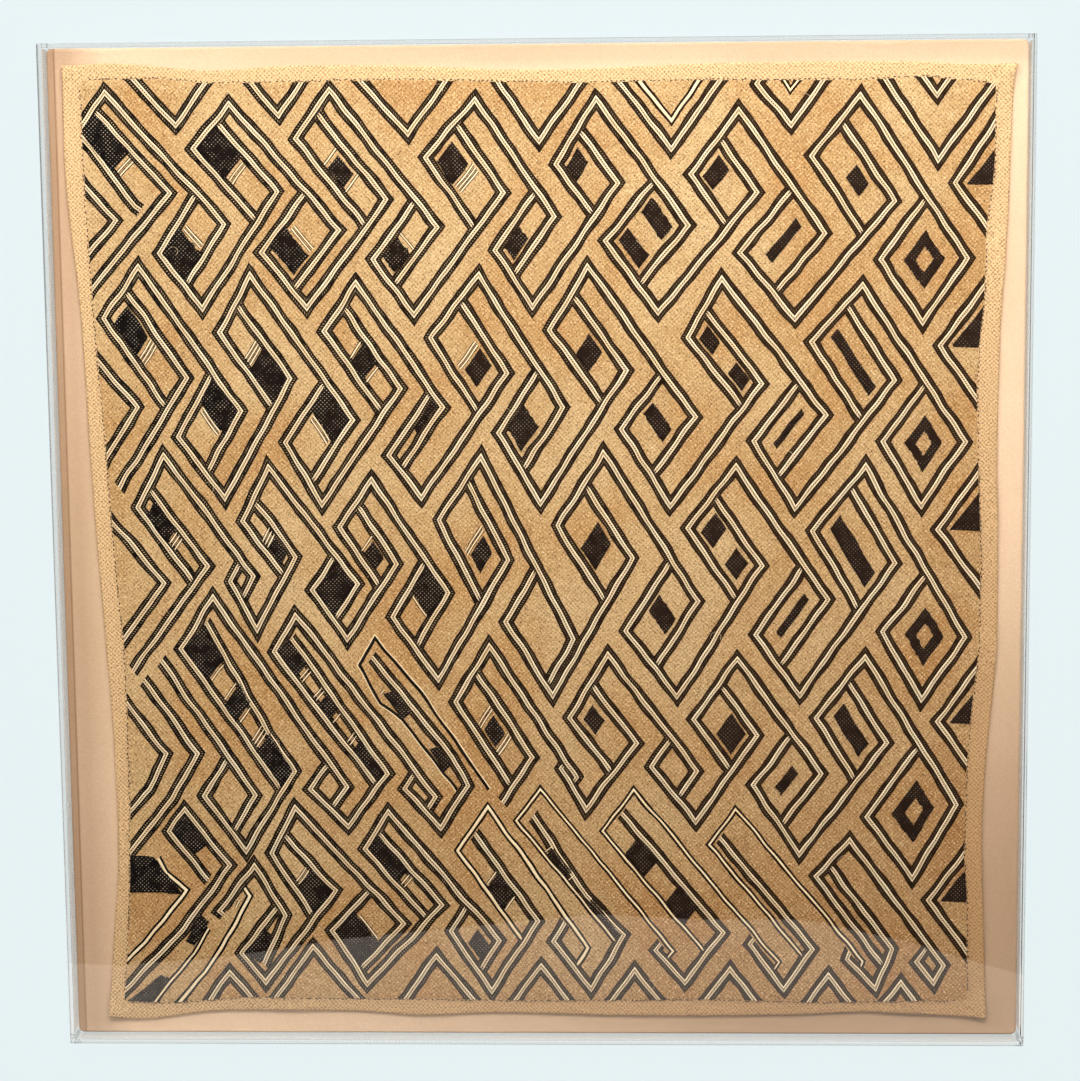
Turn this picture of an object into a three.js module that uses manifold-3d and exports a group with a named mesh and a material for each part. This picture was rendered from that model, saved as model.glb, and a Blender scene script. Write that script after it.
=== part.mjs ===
// A cut-pile raffia cloth laid on a linen-covered mount board, under a clear acrylic box.
// Millimetres. The frame lies on its back: +Z points out of the front, +Y to the cloth's top edge.
// The origin is the middle of the back, on the surface that the frame rests on.

import * as THREE from 'three';
import { mergeVertices } from 'three/addons/utils/BufferGeometryUtils.js';
import Module from 'manifold-3d';

// The frame's outside size.
const FRAME_WIDTH = 640;
const FRAME_HEIGHT = 667;
const FRAME_DEPTH = 31;

// The acrylic sheet, its polished edge, and the seam between two glued plates.
const ACRYLIC = 3;
const POLISHED_EDGE = 0.4;
const PLATE_CORNER = 1;
const SEAM = 0.3;

// The mount: a board wrapped in linen, which is turned over onto the back.
const MOUNT_DEPTH = 16;
const MOUNT_TO_WALL = 0.5;
const LINEN = 1;
const LINEN_TO_BOARD = 0.3;
const TURNED_MARGIN = 30;
const MOUNT_CORNER = 4;
const MOUNT_EDGE = 1.5;

// The cloth lies a hair above the linen.
const CLOTH_TO_LINEN = 0.3;
const HEM_WIDTH = 11;
const PILE_THICKNESS = 2.1;
const HEM_THICKNESS = 1.7;
const RIM_THICKNESS = 1;
const RIM_WIDTH = 3;
const FIELD_COLUMNS = 30;
const FIELD_ROWS = 32;

// The cloth's uneven outline: how far each edge reaches, read along that edge.
const TOP_EDGE = [
  { along: -306, reach: 319 },
  { along: -268, reach: 320 },
  { along: -212, reach: 315 },
  { along: -160, reach: 317.5 },
  { along: -87, reach: 317 },
  { along: -20, reach: 314 },
  { along: 38, reach: 314 },
  { along: 110, reach: 316.5 },
  { along: 225, reach: 317 },
  { along: 278, reach: 314.5 },
  { along: 309, reach: 315 },
];
const BOTTOM_EDGE = [
  { along: -295, reach: -318 },
  { along: -268, reach: -320 },
  { along: -217, reach: -314 },
  { along: -131, reach: -314 },
  { along: -82, reach: -317 },
  { along: -30, reach: -315 },
  { along: 64, reach: -317 },
  { along: 165, reach: -316 },
  { along: 221, reach: -314 },
  { along: 296, reach: -318 },
];
const LEFT_EDGE = [
  { along: 319, reach: -306 },
  { along: 244, reach: -306 },
  { along: 157, reach: -299 },
  { along: 74, reach: -296 },
  { along: 6, reach: -293 },
  { along: -66, reach: -289 },
  { along: -127, reach: -286 },
  { along: -202, reach: -285 },
  { along: -251, reach: -289 },
  { along: -318, reach: -295 },
];
const RIGHT_EDGE = [
  { along: 315, reach: 309 },
  { along: 298, reach: 306.5 },
  { along: 217, reach: 304 },
  { along: 138, reach: 300 },
  { along: 60, reach: 299 },
  { along: 16, reach: 300 },
  { along: -66, reach: 300 },
  { along: -141, reach: 294 },
  { along: -190, reach: 292 },
  { along: -250, reach: 293.5 },
  { along: -318, reach: 296 },
];

// Places where the hem curls up off the linen: the spot, its height and how wide it spreads.
// A rise below the least one is left flat.
const LEAST_RISE = 0.05;
const CURLS = [
  { x: 306, y: 310, rise: 2.2, spread: 15 },
  { x: -306, y: 316, rise: 1, spread: 14 },
  { x: 295, y: -314, rise: 1.8, spread: 14 },
  { x: -293, y: -315, rise: 1.8, spread: 16 },
  { x: 303, y: 190, rise: 0.9, spread: 30 },
  { x: 300, y: 20, rise: 0.8, spread: 34 },
  { x: 299, y: -70, rise: 0.9, spread: 22 },
  { x: -286, y: -200, rise: 0.8, spread: 24 },
  { x: 240, y: -314, rise: 0.8, spread: 22 },
  { x: -175, y: -314, rise: 0.7, spread: 34 },
];

// Shallow swells of the hand-woven ground: height, and length of one swell each way.
const SWELL_HEIGHT = 0.16;
const SWELL_ACROSS = 118;
const SWELL_DOWN = 92;

const wasm = await Module();
wasm.setup();

function paint(hex, roughness, more) {
  return new THREE.MeshStandardMaterial({ color: hex, roughness, metalness: 0, ...more });
}

const RAFFIA_MATERIAL = paint(0xcda564, 0.9);
const LINEN_MATERIAL = paint(0xeccca8, 0.95);
const BOARD_MATERIAL = paint(0xb98f62, 0.8);
const ACRYLIC_MATERIAL = paint(0xf4f8fa, 0.05, { transparent: true, opacity: 0.25 });

function part(name, geometry, material) {
  const mesh = new THREE.Mesh(geometry, material);
  mesh.name = name;
  return mesh;
}

// A closed mesh with its shared corners joined, position only.
function joined(geometry) {
  geometry.deleteAttribute('normal');
  geometry.deleteAttribute('uv');
  return mergeVertices(geometry);
}

function roundedRectangle(width, height, radius) {
  const x = width / 2;
  const y = height / 2;
  const shape = new THREE.Shape();
  shape.moveTo(-x + radius, -y);
  shape.lineTo(x - radius, -y);
  shape.absarc(x - radius, -y + radius, radius, -Math.PI / 2, 0);
  shape.lineTo(x, y - radius);
  shape.absarc(x - radius, y - radius, radius, 0, Math.PI / 2);
  shape.lineTo(-x + radius, y);
  shape.absarc(-x + radius, y - radius, radius, Math.PI / 2, Math.PI);
  shape.lineTo(-x, -y + radius);
  shape.absarc(-x + radius, -y + radius, radius, Math.PI, Math.PI * 1.5);
  return shape;
}

// A slab lying flat from z = low to z = high, its long edges rounded off by edge.
function slab(width, height, low, high, radius, edge, steps) {
  const geometry = new THREE.ExtrudeGeometry(roundedRectangle(width, height, radius), {
    depth: high - low - 2 * edge,
    curveSegments: 4,
    bevelEnabled: edge > 0,
    bevelThickness: edge,
    bevelSize: edge,
    bevelOffset: -edge,
    bevelSegments: steps,
  });
  geometry.translate(0, 0, low + edge);
  return joined(geometry);
}

function toManifold(geometry) {
  return new wasm.Manifold(new wasm.Mesh({
    numProp: 3,
    vertProperties: new Float32Array(geometry.attributes.position.array),
    triVerts: new Uint32Array(geometry.index.array),
  }));
}

function toGeometry(manifold) {
  const mesh = manifold.getMesh();
  const geometry = new THREE.BufferGeometry();
  geometry.setAttribute('position', new THREE.BufferAttribute(mesh.vertProperties, 3));
  geometry.setIndex(new THREE.BufferAttribute(mesh.triVerts, 1));
  geometry.computeVertexNormals();
  return geometry;
}

const MOUNT_WIDTH = FRAME_WIDTH - 2 * (ACRYLIC + MOUNT_TO_WALL);
const MOUNT_HEIGHT = FRAME_HEIGHT - 2 * (ACRYLIC + MOUNT_TO_WALL);

// The board inside the linen.
function mountBoard() {
  const inset = 2 * (LINEN + LINEN_TO_BOARD);
  const low = LINEN + LINEN_TO_BOARD;
  const high = MOUNT_DEPTH - LINEN - LINEN_TO_BOARD;
  const radius = MOUNT_CORNER - inset / 2;
  return part(
    'mount_board',
    slab(MOUNT_WIDTH - inset, MOUNT_HEIGHT - inset, low, high, radius, 0, 0),
    BOARD_MATERIAL,
  );
}

// Linen over the board's face and sides, turned over onto its back as a margin.
function linenCover() {
  const outside = toManifold(
    slab(MOUNT_WIDTH, MOUNT_HEIGHT, 0, MOUNT_DEPTH, MOUNT_CORNER, MOUNT_EDGE, 3),
  );
  const cavity = toManifold(slab(
    MOUNT_WIDTH - 2 * LINEN,
    MOUNT_HEIGHT - 2 * LINEN,
    LINEN,
    MOUNT_DEPTH - LINEN,
    MOUNT_CORNER - LINEN,
    0,
    0,
  ));
  const bareBack = toManifold(slab(
    MOUNT_WIDTH - 2 * TURNED_MARGIN,
    MOUNT_HEIGHT - 2 * TURNED_MARGIN,
    -LINEN,
    2 * LINEN,
    MOUNT_CORNER,
    0,
    0,
  ));
  return part('linen_cover', toGeometry(outside.subtract(cavity).subtract(bareBack)), LINEN_MATERIAL);
}

// One edge of the cloth as a smooth curve through its table.
function edgeCurve(rows, place) {
  return new THREE.CatmullRomCurve3(rows.map(place), false, 'catmullrom', 0.5);
}

const alongX = (row) => new THREE.Vector3(row.along, row.reach, 0);
const alongY = (row) => new THREE.Vector3(row.reach, row.along, 0);
const topCurve = edgeCurve(TOP_EDGE, alongX);
const bottomCurve = edgeCurve(BOTTOM_EDGE, alongX);
const leftCurve = edgeCurve(LEFT_EDGE, alongY);
const rightCurve = edgeCurve(RIGHT_EDGE, alongY);

// A place on the cloth: across from left to right and down from top to bottom, each 0 to 1.
function clothPlace(across, down) {
  const top = topCurve.getPointAt(across);
  const bottom = bottomCurve.getPointAt(across);
  const left = leftCurve.getPointAt(down);
  const right = rightCurve.getPointAt(down);
  const topLeft = topCurve.getPointAt(0);
  const topRight = topCurve.getPointAt(1);
  const bottomLeft = bottomCurve.getPointAt(0);
  const bottomRight = bottomCurve.getPointAt(1);
  const place = new THREE.Vector3();
  place.addScaledVector(top, 1 - down).addScaledVector(bottom, down);
  place.addScaledVector(left, 1 - across).addScaledVector(right, across);
  place.addScaledVector(topLeft, -(1 - across) * (1 - down));
  place.addScaledVector(topRight, -across * (1 - down));
  place.addScaledVector(bottomLeft, -(1 - across) * down);
  place.addScaledVector(bottomRight, -across * down);
  return place;
}

// Grid lines at the rim, along the middle and inner side of the hem, and evenly over the field.
function gridLines(length, steps) {
  const lines = [0, HEM_WIDTH / 2, HEM_WIDTH];
  const field = length - 2 * HEM_WIDTH;
  for (let i = 1; i < steps; i += 1) {
    lines.push(HEM_WIDTH + (field * i) / steps);
  }
  lines.push(length - HEM_WIDTH, length - HEM_WIDTH / 2, length);
  return lines;
}

// How thick the cloth is at a distance in from its edge.
function clothThickness(inFromEdge) {
  if (inFromEdge < RIM_WIDTH) {
    return RIM_THICKNESS;
  }
  return inFromEdge < HEM_WIDTH - RIM_WIDTH ? HEM_THICKNESS : PILE_THICKNESS;
}

// How far the curled hem stands off the linen.
function curl(x, y) {
  let rise = 0;
  for (const spot of CURLS) {
    const away = Math.hypot(x - spot.x, y - spot.y) / spot.spread;
    rise += spot.rise * Math.exp(-2 * away * away);
  }
  return rise > LEAST_RISE ? rise : 0;
}

// The slight unevenness of the pile field.
function swell(x, y) {
  const across = (2 * Math.PI * x) / SWELL_ACROSS;
  const down = (2 * Math.PI * y) / SWELL_DOWN;
  return SWELL_HEIGHT * Math.sin(across) * Math.cos(down);
}

// The cloth with its hem: one closed sheet on a grid of top and underside points.
function raffiaCloth() {
  const width = topCurve.getLength();
  const height = leftCurve.getLength();
  const columns = gridLines(width, FIELD_COLUMNS);
  const rows = gridLines(height, FIELD_ROWS);
  const floor = MOUNT_DEPTH + CLOTH_TO_LINEN;
  const upper = [];
  const lower = [];
  for (const down of rows) {
    for (const across of columns) {
      const place = clothPlace(across / width, down / height);
      const inFromEdge = Math.min(across, width - across, down, height - down);
      const rise = floor + curl(place.x, place.y);
      const lively = inFromEdge > HEM_WIDTH ? swell(place.x, place.y) : 0;
      lower.push(place.x, place.y, rise);
      upper.push(place.x, place.y, rise + clothThickness(inFromEdge) + lively);
    }
  }
  const wide = columns.length;
  const tall = rows.length;
  const under = wide * tall;
  const faces = [];
  const quad = (a, b, c, d) => faces.push(a, b, c, a, c, d);
  for (let row = 0; row < tall - 1; row += 1) {
    for (let column = 0; column < wide - 1; column += 1) {
      const corner = row * wide + column;
      quad(corner, corner + wide, corner + wide + 1, corner + 1);
      quad(under + corner, under + corner + 1, under + corner + wide + 1, under + corner + wide);
    }
  }
  const last = (tall - 1) * wide;
  for (let column = 0; column < wide - 1; column += 1) {
    quad(column, column + 1, under + column + 1, under + column);
    quad(last + column + 1, last + column, under + last + column, under + last + column + 1);
  }
  for (let row = 0; row < tall - 1; row += 1) {
    const left = row * wide;
    const right = left + wide - 1;
    quad(left + wide, left, under + left, under + left + wide);
    quad(right, right + wide, under + right + wide, under + right);
  }
  const geometry = new THREE.BufferGeometry();
  geometry.setAttribute('position', new THREE.Float32BufferAttribute([...upper, ...lower], 3));
  geometry.setIndex(faces);
  geometry.computeVertexNormals();
  return part('raffia_cloth', geometry, RAFFIA_MATERIAL);
}

// One plate of the box, lying flat from z = low to z = high around a middle point.
function acrylicPlate(name, width, height, low, high, x, y) {
  const plate = part(
    name,
    slab(width, height, low, high, PLATE_CORNER, POLISHED_EDGE, 1),
    ACRYLIC_MATERIAL,
  );
  plate.position.set(x, y, 0);
  return plate;
}

// The front sheet covers four walls. The side walls run the full height, the others fit between.
function acrylicBox() {
  const box = new THREE.Group();
  const wallTop = FRAME_DEPTH - ACRYLIC - SEAM;
  const between = FRAME_WIDTH - 2 * (ACRYLIC + SEAM);
  const sideX = (FRAME_WIDTH - ACRYLIC) / 2;
  const endY = (FRAME_HEIGHT - ACRYLIC) / 2;
  box.add(
    acrylicPlate('acrylic_front', FRAME_WIDTH, FRAME_HEIGHT, FRAME_DEPTH - ACRYLIC, FRAME_DEPTH, 0, 0),
    acrylicPlate('acrylic_wall_left', ACRYLIC, FRAME_HEIGHT, 0, wallTop, -sideX, 0),
    acrylicPlate('acrylic_wall_right', ACRYLIC, FRAME_HEIGHT, 0, wallTop, sideX, 0),
    acrylicPlate('acrylic_wall_top', between, ACRYLIC, 0, wallTop, 0, endY),
    acrylicPlate('acrylic_wall_bottom', between, ACRYLIC, 0, wallTop, 0, -endY),
  );
  return box;
}

const framedCloth = new THREE.Group();
framedCloth.add(mountBoard(), linenCover(), raffiaCloth(), acrylicBox());

export default framedCloth;
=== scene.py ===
import math
import random

import bpy
from mathutils import Matrix, Vector, noise


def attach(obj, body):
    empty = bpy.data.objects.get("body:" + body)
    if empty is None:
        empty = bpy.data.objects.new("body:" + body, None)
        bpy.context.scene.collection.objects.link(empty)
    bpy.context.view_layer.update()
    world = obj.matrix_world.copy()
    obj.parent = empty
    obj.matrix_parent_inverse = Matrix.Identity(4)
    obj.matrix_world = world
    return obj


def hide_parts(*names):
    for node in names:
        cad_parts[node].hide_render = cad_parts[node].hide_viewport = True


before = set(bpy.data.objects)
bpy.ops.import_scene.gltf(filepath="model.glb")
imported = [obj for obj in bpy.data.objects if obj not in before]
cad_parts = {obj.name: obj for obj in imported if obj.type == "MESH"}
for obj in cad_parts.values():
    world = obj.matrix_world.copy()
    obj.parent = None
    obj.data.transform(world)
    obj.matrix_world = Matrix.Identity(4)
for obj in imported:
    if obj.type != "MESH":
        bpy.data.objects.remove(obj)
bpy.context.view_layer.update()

# Sizes are millimetres on the part, as in the CAD, and MM turns them into Blender's metres.
MM = 0.001

# The camera stands in front of the frame, a little above its middle. The photograph is
# 1080 x 1081 pixels and the lens spans this many pixels for each unit of distance.
PHOTO_LONG_SIDE = 1081
LENS_PIXELS = 3200
SENSOR = 36
CAMERA_PLACE = (88.6, 336.0, 2096.1)
CAMERA_PITCH = -0.15716
CAMERA_YAW = 0.04136
CAMERA_ROLL = -0.00368
NEAREST_SEEN = 0.05
FARTHEST_SEEN = 20


def place_camera():
    data = bpy.data.cameras.new("photo_camera")
    data.sensor_width = SENSOR
    data.lens = SENSOR * LENS_PIXELS / PHOTO_LONG_SIDE
    data.clip_start = NEAREST_SEEN
    data.clip_end = FARTHEST_SEEN
    camera = bpy.data.objects.new("photo_camera", data)
    bpy.context.scene.collection.objects.link(camera)
    turn = Matrix.Rotation(CAMERA_ROLL, 4, "Z")
    turn = turn @ Matrix.Rotation(CAMERA_PITCH, 4, "X")
    turn = turn @ Matrix.Rotation(CAMERA_YAW, 4, "Y")
    camera.matrix_world = Matrix.Translation(Vector(CAMERA_PLACE) * MM) @ turn
    bpy.context.scene.camera = camera


place_camera()

# The frame and its mount.
FRAME_WIDTH = 640
FRAME_HEIGHT = 667
FRAME_DEPTH = 31
ACRYLIC = 3
MOUNT_DEPTH = 16
MOUNT_TO_WALL = 0.5
MOUNT_WIDTH = FRAME_WIDTH - 2 * (ACRYLIC + MOUNT_TO_WALL)
MOUNT_HEIGHT = FRAME_HEIGHT - 2 * (ACRYLIC + MOUNT_TO_WALL)

# The cloth, as in the CAD.
CLOTH_TO_LINEN = 0.3
HEM_WIDTH = 11
PILE_THICKNESS = 2.1
HEM_THICKNESS = 1.7
RIM_THICKNESS = 0.9
RIM_ROLL = 1.6
LEAST_RISE = 0.05
TOP_EDGE = [
    (-306, 319), (-268, 320), (-212, 315), (-160, 317.5), (-87, 317), (-20, 314),
    (38, 314), (110, 316.5), (225, 317), (278, 314.5), (309, 315),
]
BOTTOM_EDGE = [
    (-295, -318), (-268, -320), (-217, -314), (-131, -314), (-82, -317),
    (-30, -315), (64, -317), (165, -316), (221, -314), (296, -318),
]
LEFT_EDGE = [
    (319, -306), (244, -306), (157, -299), (74, -296), (6, -293),
    (-66, -289), (-127, -286), (-202, -285), (-251, -289), (-318, -295),
]
RIGHT_EDGE = [
    (315, 309), (298, 306.5), (217, 304), (138, 300), (60, 299), (16, 300),
    (-66, 300), (-141, 294), (-190, 292), (-250, 293.5), (-318, 296),
]
# Where the hem curls up: x, y, rise and spread.
CURLS = [
    (306, 310, 2.2, 15), (-306, 316, 1, 14), (295, -314, 1.8, 14), (-293, -315, 1.8, 16),
    (303, 190, 0.9, 30), (300, 20, 0.8, 34), (299, -70, 0.9, 22), (-286, -200, 0.8, 24),
    (240, -314, 0.8, 22), (-175, -314, 0.7, 34),
]
SWELL_HEIGHT = 0.16
SWELL_ACROSS = 118
SWELL_DOWN = 92

# The hem's inner side, where the worked field begins. Left and right are read down the cloth, as
# height and reach; top and bottom across it.
FIELD_LEFT = [
    (310, -294), (265, -294), (227, -293), (179, -291), (138, -289), (74, -285),
    (30, -283), (-22, -280), (-59, -277), (-110, -276), (-167, -276), (-202, -277),
    (-233, -278), (-287, -282), (-305, -284),
]
FIELD_RIGHT = [
    (305, 295), (254, 295), (240, 294), (210, 290), (160, 289), (132, 286), (102, 285),
    (45, 287), (-7, 289), (-67, 288), (-116, 283), (-150, 281), (-206, 280),
    (-231, 282), (-304, 283),
]
FIELD_TOP = [
    (-294, 310), (-240, 310), (-214, 307), (-171, 307), (-93, 308), (-20, 306),
    (25, 305), (107, 306), (208, 305), (250, 307), (295, 302),
]
FIELD_BOTTOM = [
    (-284, -307), (-252, -308), (-200, -304), (-104, -305), (-1, -306), (117, -305),
    (177, -307), (283, -305),
]
for table in (FIELD_LEFT, FIELD_RIGHT, FIELD_TOP, FIELD_BOTTOM):
    table.sort()


def read_table(table, at):
    """Straight-line reading of a table of pairs in rising order, held at its ends."""
    if at <= table[0][0]:
        return table[0][1]
    for low, high in zip(table, table[1:]):
        if at <= high[0]:
            share = (at - low[0]) / (high[0] - low[0])
            return low[1] + (high[1] - low[1]) * share
    return table[-1][1]


# How far a point lies inside each side of the worked field.
FIELD_SIDES = [
    lambda x, y: x - read_table(FIELD_LEFT, y),
    lambda x, y: read_table(FIELD_RIGHT, y) - x,
    lambda x, y: read_table(FIELD_TOP, x) - y,
    lambda x, y: y - read_table(FIELD_BOTTOM, x),
]


def inside_field(x, y):
    return min(side(x, y) for side in FIELD_SIDES)


def curl(x, y):
    """How far the cloth lifts off the linen here."""
    rise = 0
    for cx, cy, height, spread in CURLS:
        away = math.hypot(x - cx, y - cy) / spread
        rise += height * math.exp(-2 * away * away)
    return rise if rise > LEAST_RISE else 0


def swell(x, y):
    """The field is never quite flat."""
    across = math.sin(2 * math.pi * x / SWELL_ACROSS)
    down = math.cos(2 * math.pi * y / SWELL_DOWN)
    return SWELL_HEIGHT * across * down


def bumpy(x, y, length, layer):
    """Smooth noise from -1 to 1 over the cloth. Each use has a layer of its own."""
    return noise.noise(Vector((x / length, y / length, layer)))


def field_height(x, y):
    return MOUNT_DEPTH + CLOTH_TO_LINEN + curl(x, y) + PILE_THICKNESS + swell(x, y)


# Mesh making.
def add_mesh(name, points, faces, material, attributes=None, uvs=None):
    """A piece at the origin from points in millimetres."""
    mesh = bpy.data.meshes.new(name)
    mesh.from_pydata([(x * MM, y * MM, z * MM) for x, y, z in points], [], faces)
    if uvs is not None:
        layer = mesh.uv_layers.new(name="thread")
        for loop in mesh.loops:
            layer.data[loop.index].uv = uvs[loop.vertex_index]
    for label, values in (attributes or {}).items():
        layer = mesh.attributes.new(label, "FLOAT", "POINT")
        layer.data.foreach_set("value", values)
    mesh.polygons.foreach_set("use_smooth", [True] * len(mesh.polygons))
    mesh.materials.append(material)
    mesh.update()
    piece = bpy.data.objects.new(name, mesh)
    bpy.context.scene.collection.objects.link(piece)
    return piece


# Shader helpers.
def new_material(name, roughness=0.9, specular=0.2):
    material = bpy.data.materials.new(name)
    material.use_nodes = True
    shader = material.node_tree.nodes["Principled BSDF"]
    shader.inputs["Roughness"].default_value = roughness
    shader.inputs["Specular IOR Level"].default_value = specular
    return material, material.node_tree, shader


def node(tree, kind, **values):
    made = tree.nodes.new(kind)
    for key, value in values.items():
        setattr(made, key, value)
    return made


def link(tree, source, target):
    tree.links.new(source, target)


def feed(tree, value, socket):
    """Links a socket to another one, or sets it to a number, place or colour."""
    if isinstance(value, bpy.types.NodeSocket):
        link(tree, value, socket)
    else:
        socket.default_value = value


def maths(tree, operation, *values):
    made = node(tree, "ShaderNodeMath", operation=operation)
    for socket, value in zip(made.inputs, values):
        feed(tree, value, socket)
    return made.outputs[0]


def vector_maths(tree, operation, *values):
    made = node(tree, "ShaderNodeVectorMath", operation=operation)
    for socket, value in zip(made.inputs, values):
        feed(tree, value, socket)
    return made.outputs[0]


def node_xyz(tree, where):
    apart = node(tree, "ShaderNodeSeparateXYZ")
    link(tree, where, apart.inputs[0])
    return apart.outputs


def mix_values(tree, factor, a, b):
    made = node(tree, "ShaderNodeMix", data_type="FLOAT")
    for place, value in ((0, factor), (2, a), (3, b)):
        feed(tree, value, made.inputs[place])
    return made.outputs[0]


def mix_colours(tree, factor, a, b):
    made = node(tree, "ShaderNodeMix", data_type="RGBA")
    for place, value in ((0, factor), (6, a), (7, b)):
        feed(tree, value, made.inputs[place])
    return made.outputs[2]


def srgb(red, green, blue):
    """A colour given as it looks on a screen, 0 to 255, as the linear one that Blender wants."""
    def straight(level):
        share = level / 255
        return share / 12.92 if share <= 0.04045 else ((share + 0.055) / 1.055) ** 2.4
    return (straight(red), straight(green), straight(blue), 1)


def ramp(tree, factor, low, high):
    """A value from 0 at low to 1 at high."""
    made = node(tree, "ShaderNodeMapRange", clamp=True)
    for label, value in (("Value", factor), ("From Min", low), ("From Max", high)):
        feed(tree, value, made.inputs[label])
    return made.outputs["Result"]


def noise_texture(tree, where, scale, detail, roughness=0.5):
    made = node(tree, "ShaderNodeTexNoise")
    settings = (("Vector", where), ("Scale", scale), ("Detail", detail), ("Roughness", roughness))
    for label, value in settings:
        feed(tree, value, made.inputs[label])
    return made.outputs


def object_place(tree):
    return node(tree, "ShaderNodeTexCoord").outputs["Object"]


def add_bump(tree, shader, height, strength, distance):
    bump = node(tree, "ShaderNodeBump")
    bump.inputs["Strength"].default_value = strength
    bump.inputs["Distance"].default_value = distance * MM
    link(tree, height, bump.inputs["Height"])
    link(tree, bump.outputs["Normal"], shader.inputs["Normal"])


# Effects that several materials share. Each is a shader group, built once.
def effect_group(name, inputs, output):
    """An empty group, what it is given by name, and the socket for its one result."""
    group = bpy.data.node_groups.new(name, "ShaderNodeTree")
    for label, kind in inputs.items():
        group.interface.new_socket(name=label, in_out="INPUT", socket_type="NodeSocket" + kind)
    group.interface.new_socket(name=output, in_out="OUTPUT", socket_type="NodeSocketFloat")
    given = node(group, "NodeGroupInput").outputs
    return group, given, node(group, "NodeGroupOutput").inputs[output]


def place_effect(tree, group, **values):
    made = node(tree, "ShaderNodeGroup", node_tree=group)
    for label, value in values.items():
        feed(tree, value, made.inputs[label])
    return made.outputs[0]


# Weaves: pitch and unevenness in millimetres.
GOLD_WEAVE = (1.5, 1.1)
HEM_WEAVE = (1.4, 1.0)
DARK_WEAVE = (1.35, 0.8)
LINEN_WEAVE = (0.62, 0.35)
DRIFT_SCALE = 90
NOISE_MIDDLE = (0.5, 0.5, 0.5)


def weave_group():
    """The over-and-under dots of a plain woven ground, with uneven threads."""
    inputs = {"Place": "Vector", "Pitch": "Float", "Unevenness": "Float"}
    group, given, result = effect_group("woven_ground", inputs, "Dots")
    drift = noise_texture(group, given["Place"], DRIFT_SCALE, 2)["Color"]
    centred = vector_maths(group, "SUBTRACT", drift, NOISE_MIDDLE)
    scaled = node(group, "ShaderNodeVectorMath", operation="SCALE")
    link(group, centred, scaled.inputs[0])
    link(group, given["Unevenness"], scaled.inputs["Scale"])
    x, y, _ = node_xyz(group, vector_maths(group, "ADD", given["Place"], scaled.outputs[0]))
    turns = maths(group, "DIVIDE", math.pi, given["Pitch"])
    across = maths(group, "SINE", maths(group, "MULTIPLY", x, turns))
    down = maths(group, "SINE", maths(group, "MULTIPLY", y, turns))
    both = maths(group, "MULTIPLY", across, down)
    link(group, maths(group, "MULTIPLY_ADD", both, 0.5, 0.5), result)
    return group


def grain_group():
    """Soft noise: the grain of fibres, threads and card, and larger patches of colour."""
    inputs = {"Place": "Vector", "Scale": "Float", "Detail": "Float", "Roughness": "Float"}
    group, given, result = effect_group("grain", inputs, "Level")
    noise_level = noise_texture(group, *(given[label] for label in inputs))["Fac"]
    link(group, noise_level, result)
    return group


def beat_group():
    """A wave along a stitched line, from 0 to 1 and back once for every stitch."""
    inputs = {"Run": "Float", "Turns": "Float"}
    group, given, result = effect_group("stitch_beat", inputs, "Beat")
    turned = maths(group, "MULTIPLY", given["Run"], given["Turns"])
    link(group, maths(group, "MULTIPLY_ADD", maths(group, "SINE", turned), 0.5, 0.5), result)
    return group


def low_right_group():
    """0 over most of the front, rising to 1 toward its lower right corner."""
    inputs = {"Place": "Vector", "Start": "Float", "End": "Float"}
    group, given, result = effect_group("toward_low_right", inputs, "Share")
    x, y, _ = node_xyz(group, given["Place"])
    slope = maths(group, "MULTIPLY_ADD", x, 0.7, maths(group, "MULTIPLY", y, -1))
    link(group, ramp(group, slope, given["Start"], given["End"]), result)
    return group


CLOTH_LEFT, CLOTH_RIGHT = -0.25, 0.25
BROWN_PATCH = 45


def rightward_group():
    """0 at the left side of the cloth and 1 at its right side, patchy in between."""
    inputs = {"Place": "Vector", "Unevenness": "Float"}
    group, given, result = effect_group("browner_rightward", inputs, "Share")
    share = ramp(group, node_xyz(group, given["Place"])[0], CLOTH_LEFT, CLOTH_RIGHT)
    patch = noise_texture(group, given["Place"], 1 / (BROWN_PATCH * MM), 2)["Fac"]
    patchy = maths(group, "MULTIPLY_ADD", patch, given["Unevenness"], share)
    link(group, ramp(group, patchy, 0.15, 1.1), result)
    return group


WOVEN = weave_group()
GRAIN = grain_group()
BEAT = beat_group()
LOW_RIGHT = low_right_group()
RIGHTWARD = rightward_group()


def woven_dots(tree, where, pitch, unevenness):
    return place_effect(tree, WOVEN, Place=where, Pitch=pitch * MM, Unevenness=unevenness * MM)


def cloud(tree, where, size, detail=2.0, roughness=0.5):
    """Grain with blotches about this many millimetres across."""
    scale = 1 / (size * MM)
    return place_effect(tree, GRAIN, Place=where, Scale=scale, Detail=detail, Roughness=roughness)


def stitch_beat(tree, run, pitch):
    return place_effect(tree, BEAT, Run=run, Turns=2 * math.pi / (pitch * MM))


def low_right(tree, where, start, end):
    return place_effect(tree, LOW_RIGHT, Place=where, Start=start, End=end)


def left_to_right(tree, where, uneven=0.5):
    return place_effect(tree, RIGHTWARD, Place=where, Unevenness=uneven)


# The gold of the plain bands, from pale to orange, the brown in its weave, and a darker orange gold that
# is painted shade toward the lower right.
GOLD_PALE = srgb(220, 184, 130)
GOLD_TUFT = srgb(250, 224, 178)
GOLD = srgb(210, 169, 113)
GOLD_ORANGE = srgb(201, 153, 94)
GOLD_SHADED = srgb(156, 92, 24)
WEAVE_BROWN = srgb(118, 78, 40)
HEM_TAN = srgb(238, 200, 148)
HEM_SHADE = srgb(136, 98, 60)


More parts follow.
